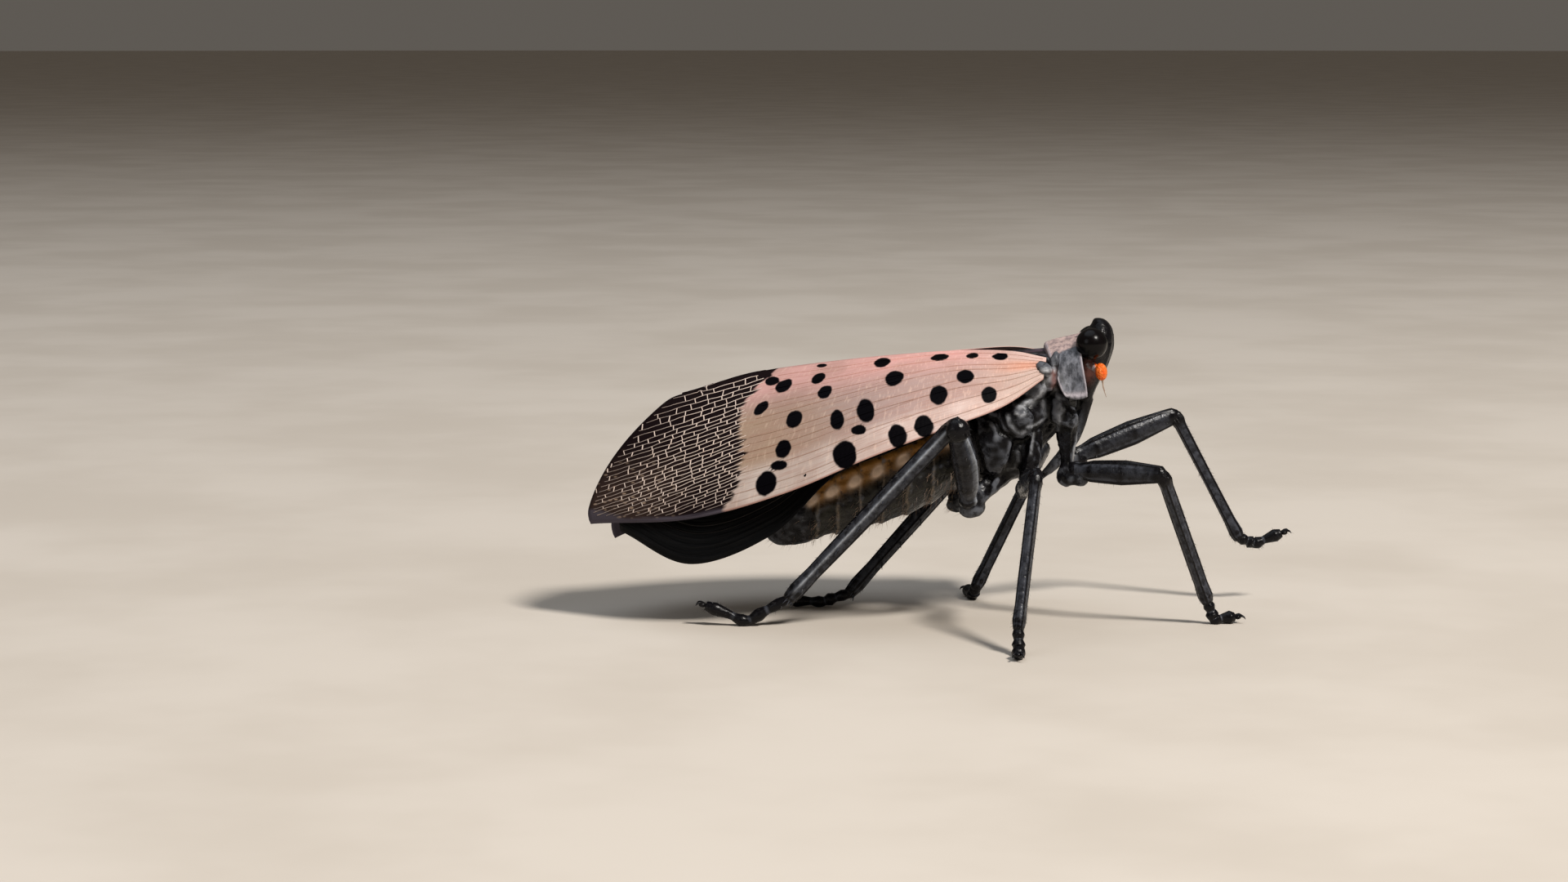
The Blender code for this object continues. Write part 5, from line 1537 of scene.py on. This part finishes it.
bristle_tree, given, end = new_tree("scattered_bristles", (
    ("Density", "Float", 1.0e7), ("Length", "Float", 0.0003), ("Girth", "Float", 0.00001),
    ("Lean", "Vector", None), ("Unevenness", "Float", 0.3), ("Seed", "Int", 1), ("Finish", "Material", None)))
scatter = node_with(bristle_tree, "GeometryNodeDistributePointsOnFaces", {
    0: given[0], "Density Max": given["Density"], "Density Factor": read_named(bristle_tree, "hairy"),
    "Seed": given["Seed"]}, distribute_method="POISSON")
shake = node_with(bristle_tree, "FunctionNodeRandomValue", {
    "Min": (-1.0,) * 3, "Max": (1.0,) * 3, "Seed": given["Seed"]}, data_type="FLOAT_VECTOR")
shaken = vector_step(bristle_tree, "MULTIPLY_ADD", {
    0: shake.outputs["Value"], 1: given["Unevenness"], 2: scatter.outputs["Normal"]})
leaning = vector_step(bristle_tree, "ADD", {0: shaken, 1: given["Lean"]})
growth = node_with(bristle_tree, "FunctionNodeRandomValue", {2: 0.5, 3: 1.0}, data_type="FLOAT")
girth_and_length = node_with(bristle_tree, "ShaderNodeCombineXYZ", {0: given["Girth"], 1: given["Girth"],
                                                                    2: given["Length"]})
grown = vector_step(bristle_tree, "SCALE", {0: girth_and_length.outputs[0], "Scale": growth.outputs[1]})
plant(bristle_tree, scatter.outputs[0], leaning, grown, given["Finish"], end)
print("trees:", spine_tree.name, bristle_tree.name)

# %% [markdown]
# Each bristle gets a small patch of its own on a texture map, at its root's place on an unrolled skin: the
# share of the way along the limb or body, and the turn about it. The patches keep the bristles' colours apart
# when a finish is baked.

# %% Unrolling the skin, and spines on the shins
PATCH, UNROLLED_SIZE = 0.003, (0.9, 0.14)
BODY_AXIS = [Vector((-7.6, 0.0, 4.2)), Vector((7.5, 0.0, 11.0))]
SPINE_SHARES = (0.28, 0.42, 0.56, 0.69, 0.81)
SPINE_LENGTH, SPINE_GIRTH = 0.46, 0.062
CROWN_SPINES, CROWN_LENGTH = 7, 0.32


def unroll(points, path):
    """For each point: share of the way along the path, and share of a turn about it."""
    best, walked = np.full(len(points), 1.0e9), 0.0
    shares, turns = np.zeros((2, len(points)))
    whole = sum((b - a).length for a, b in zip(path, path[1:]))
    for a, b in zip(path, path[1:]):
        axis, side, lift = (np.array(v) for v in frame_along(a, b))
        off = points - np.array(a)
        on = np.clip(off @ axis, 0.0, (b - a).length)
        away = np.linalg.norm(off - on[:, None] * axis, axis=1)
        turn = np.arctan2(off @ side, -(off @ lift)) / (2.0 * np.pi) + 0.5
        closer = away < best
        best = np.minimum(best, away)
        shares, turns = np.where(closer, (walked + on) / whole, shares), np.where(closer, turn, turns)
        walked += (b - a).length
    return np.stack([shares, turns], axis=1)


def give_patches(made, path, corner):
    """The OFBake map: a patch for each bristle, in the corner of the map kept for its limb."""
    count = BRISTLE_SIDES * (BRISTLE_LEVELS + 1)
    roots = mesh_arrays(made)[0].reshape(-1, count, 3)[:, :BRISTLE_SIDES].mean(axis=1)
    where = unroll(roots / MM - np.array(SHIFT), path) * np.array(UNROLLED_SIZE) + np.array(corner)
    local = np.arange(count)
    offset = PATCH * np.stack([local % BRISTLE_SIDES / BRISTLE_SIDES,
                               local // BRISTLE_SIDES / BRISTLE_LEVELS], axis=1)
    give_uv(made, "OFBake", (where[:, None, :] + offset[None]).reshape(-1, 2))


def shin_spines(name, knee, ankle, finish):
    """Two rows of spines along a shin and a crown at its end."""
    axis, side, lift = frame_along(knee, ankle)
    spines = []
    for row, degrees in enumerate((205, 335)):
        out = side * math.cos(math.radians(degrees)) + lift * math.sin(math.radians(degrees))
        spines += [(knee.lerp(ankle, share + 0.04 * row) + out * 0.20, out + axis * 0.75,
                    (SPINE_GIRTH, SPINE_GIRTH, SPINE_LENGTH)) for share in SPINE_SHARES]
    for k in range(CROWN_SPINES):
        turn = math.radians(180.0 + 180.0 * k / (CROWN_SPINES - 1))
        out = side * math.cos(turn) + lift * math.sin(turn)
        spines.append((ankle - axis * 0.10 + out * 0.22, out * 0.55 + axis,
                       (SPINE_GIRTH * 0.8, SPINE_GIRTH * 0.8, CROWN_LENGTH)))
    roots, aims, sizes = zip(*spines)
    made = place(name, roots, [], finish)
    note(made, "aim", aims)
    note(made, "size", np.array(sizes) * MM)
    run_tree(made, spine_tree, {"Length scale": 1.0, "Finish": finish})
    give_patches(made, [knee, ankle], (0.02, 0.84))
    return finish_piece(made, [], "leg")


for side in (RIGHT, LEFT):
    _, knee, ankle, _, _ = (Vector(p) for p in LEGS["hind", side])
    shin_spines("hind_%s_spines" % SIDES[side], knee, ankle, LEG_CUTICLE)

# %% [markdown]
# The bristles grow from copies of the finished skins, so that they root exactly in them. An attribute says
# where they grow: everywhere on the legs above the soles, and on the belly most of all at the rims of its
# segments, where they are longer and paler.

# %% Bristles on legs and belly
LEG_BRISTLES = {"Density": 2.6e7, "Length": 0.00017, "Girth": 0.000009, "Unevenness": 0.35}
BELLY_BRISTLES = {"Density": 3.0e7, "Length": 0.00042, "Girth": 0.0000085, "Unevenness": 0.30,
                  "Lean": (-0.55, 0.0, -0.35)}
SOLE_CLEARANCE = 0.55


def grow(name, host, hairy, values, path, corner, slot):
    """Bristles over a copy of a skin, where hairy is above nought."""
    made = add_object(name, host.data.copy())
    note(made, "hairy", hairy)
    run_tree(made, bristle_tree, values)
    give_patches(made, path, corner)
    return finish_piece(made, [], slot)


dark = Recipe("dark_bristle")
DARK_BRISTLE = dark.finish(
    Base_Color=dark.drawing.noise(5.0).between((0.008, 0.007, 0.007), (0.05, 0.048, 0.05)), Roughness=0.45)
for number, ((stage, side), host) in enumerate(legs.items()):
    points = mesh_arrays(host)[0] / MM - np.array(SHIFT)
    path = [Vector(p) for p in LEGS[stage, side]]
    lean = tuple(0.9 * (path[2] - path[1]).normalized())
    far_out = unroll(points, path)[:, 0] > 0.42
    hairy = np.clip((points[:, 2] - SOLE_CLEARANCE) / 0.3, 0.0, 1.0) * (0.35 + 0.65 * far_out)
    grow("%s_%s_bristles" % (stage, SIDES[side]), host, hairy,
         {**LEG_BRISTLES, "Lean": lean, "Seed": 20 + number, "Finish": DARK_BRISTLE}, path,
         (0.05, 0.01 + 0.14 * number), "leg")

points = mesh_arrays(body)[0] / MM - np.array(SHIFT)
x, y, z = points.T
swell_rims = np.max([bell(x, edge - 0.05, 0.16) for edge in SEGMENT_EDGES], axis=0)
below = np.clip((np.interp(x, (-7.6, -5.6, -1.6, 1.2), (4.6, 5.0, 6.6, 7.4)) - z) / 0.5, 0.0, 1.0)
grow("belly_bristles", body, (0.12 + 0.88 * swell_rims) * below * np.clip((1.2 - x) / 0.3, 0.0, 1.0),
     {**BELLY_BRISTLES, "Seed": 40, "Finish": PALE_BRISTLE}, BODY_AXIS, (0.05, 0.85), "abdomen")

# %% [markdown]
# ## The box of the solids
#
# The dressed model has to stay in the box of the solids, give or take 3 percent of each side.

# %% Finish
DRESSED_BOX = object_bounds()
ALLOWED_SHARE = 0.03
for k, axis in enumerate("xyz"):
    allowed = ALLOWED_SHARE * (CAD_BOX[1][k] - CAD_BOX[0][k])
    proud = max(CAD_BOX[0][k] - DRESSED_BOX[0][k], DRESSED_BOX[1][k] - CAD_BOX[1][k])
    print("proud along", axis, "in mm:", round(proud / MM, 3), "allowed:", round(allowed / MM, 3))
    if proud > allowed:
        raise ValueError("the dressed model stands too far out along " + axis)
print("pieces:", len(EVERY_PIECE), "polygons:", sum(EVERY_PIECE.values()))
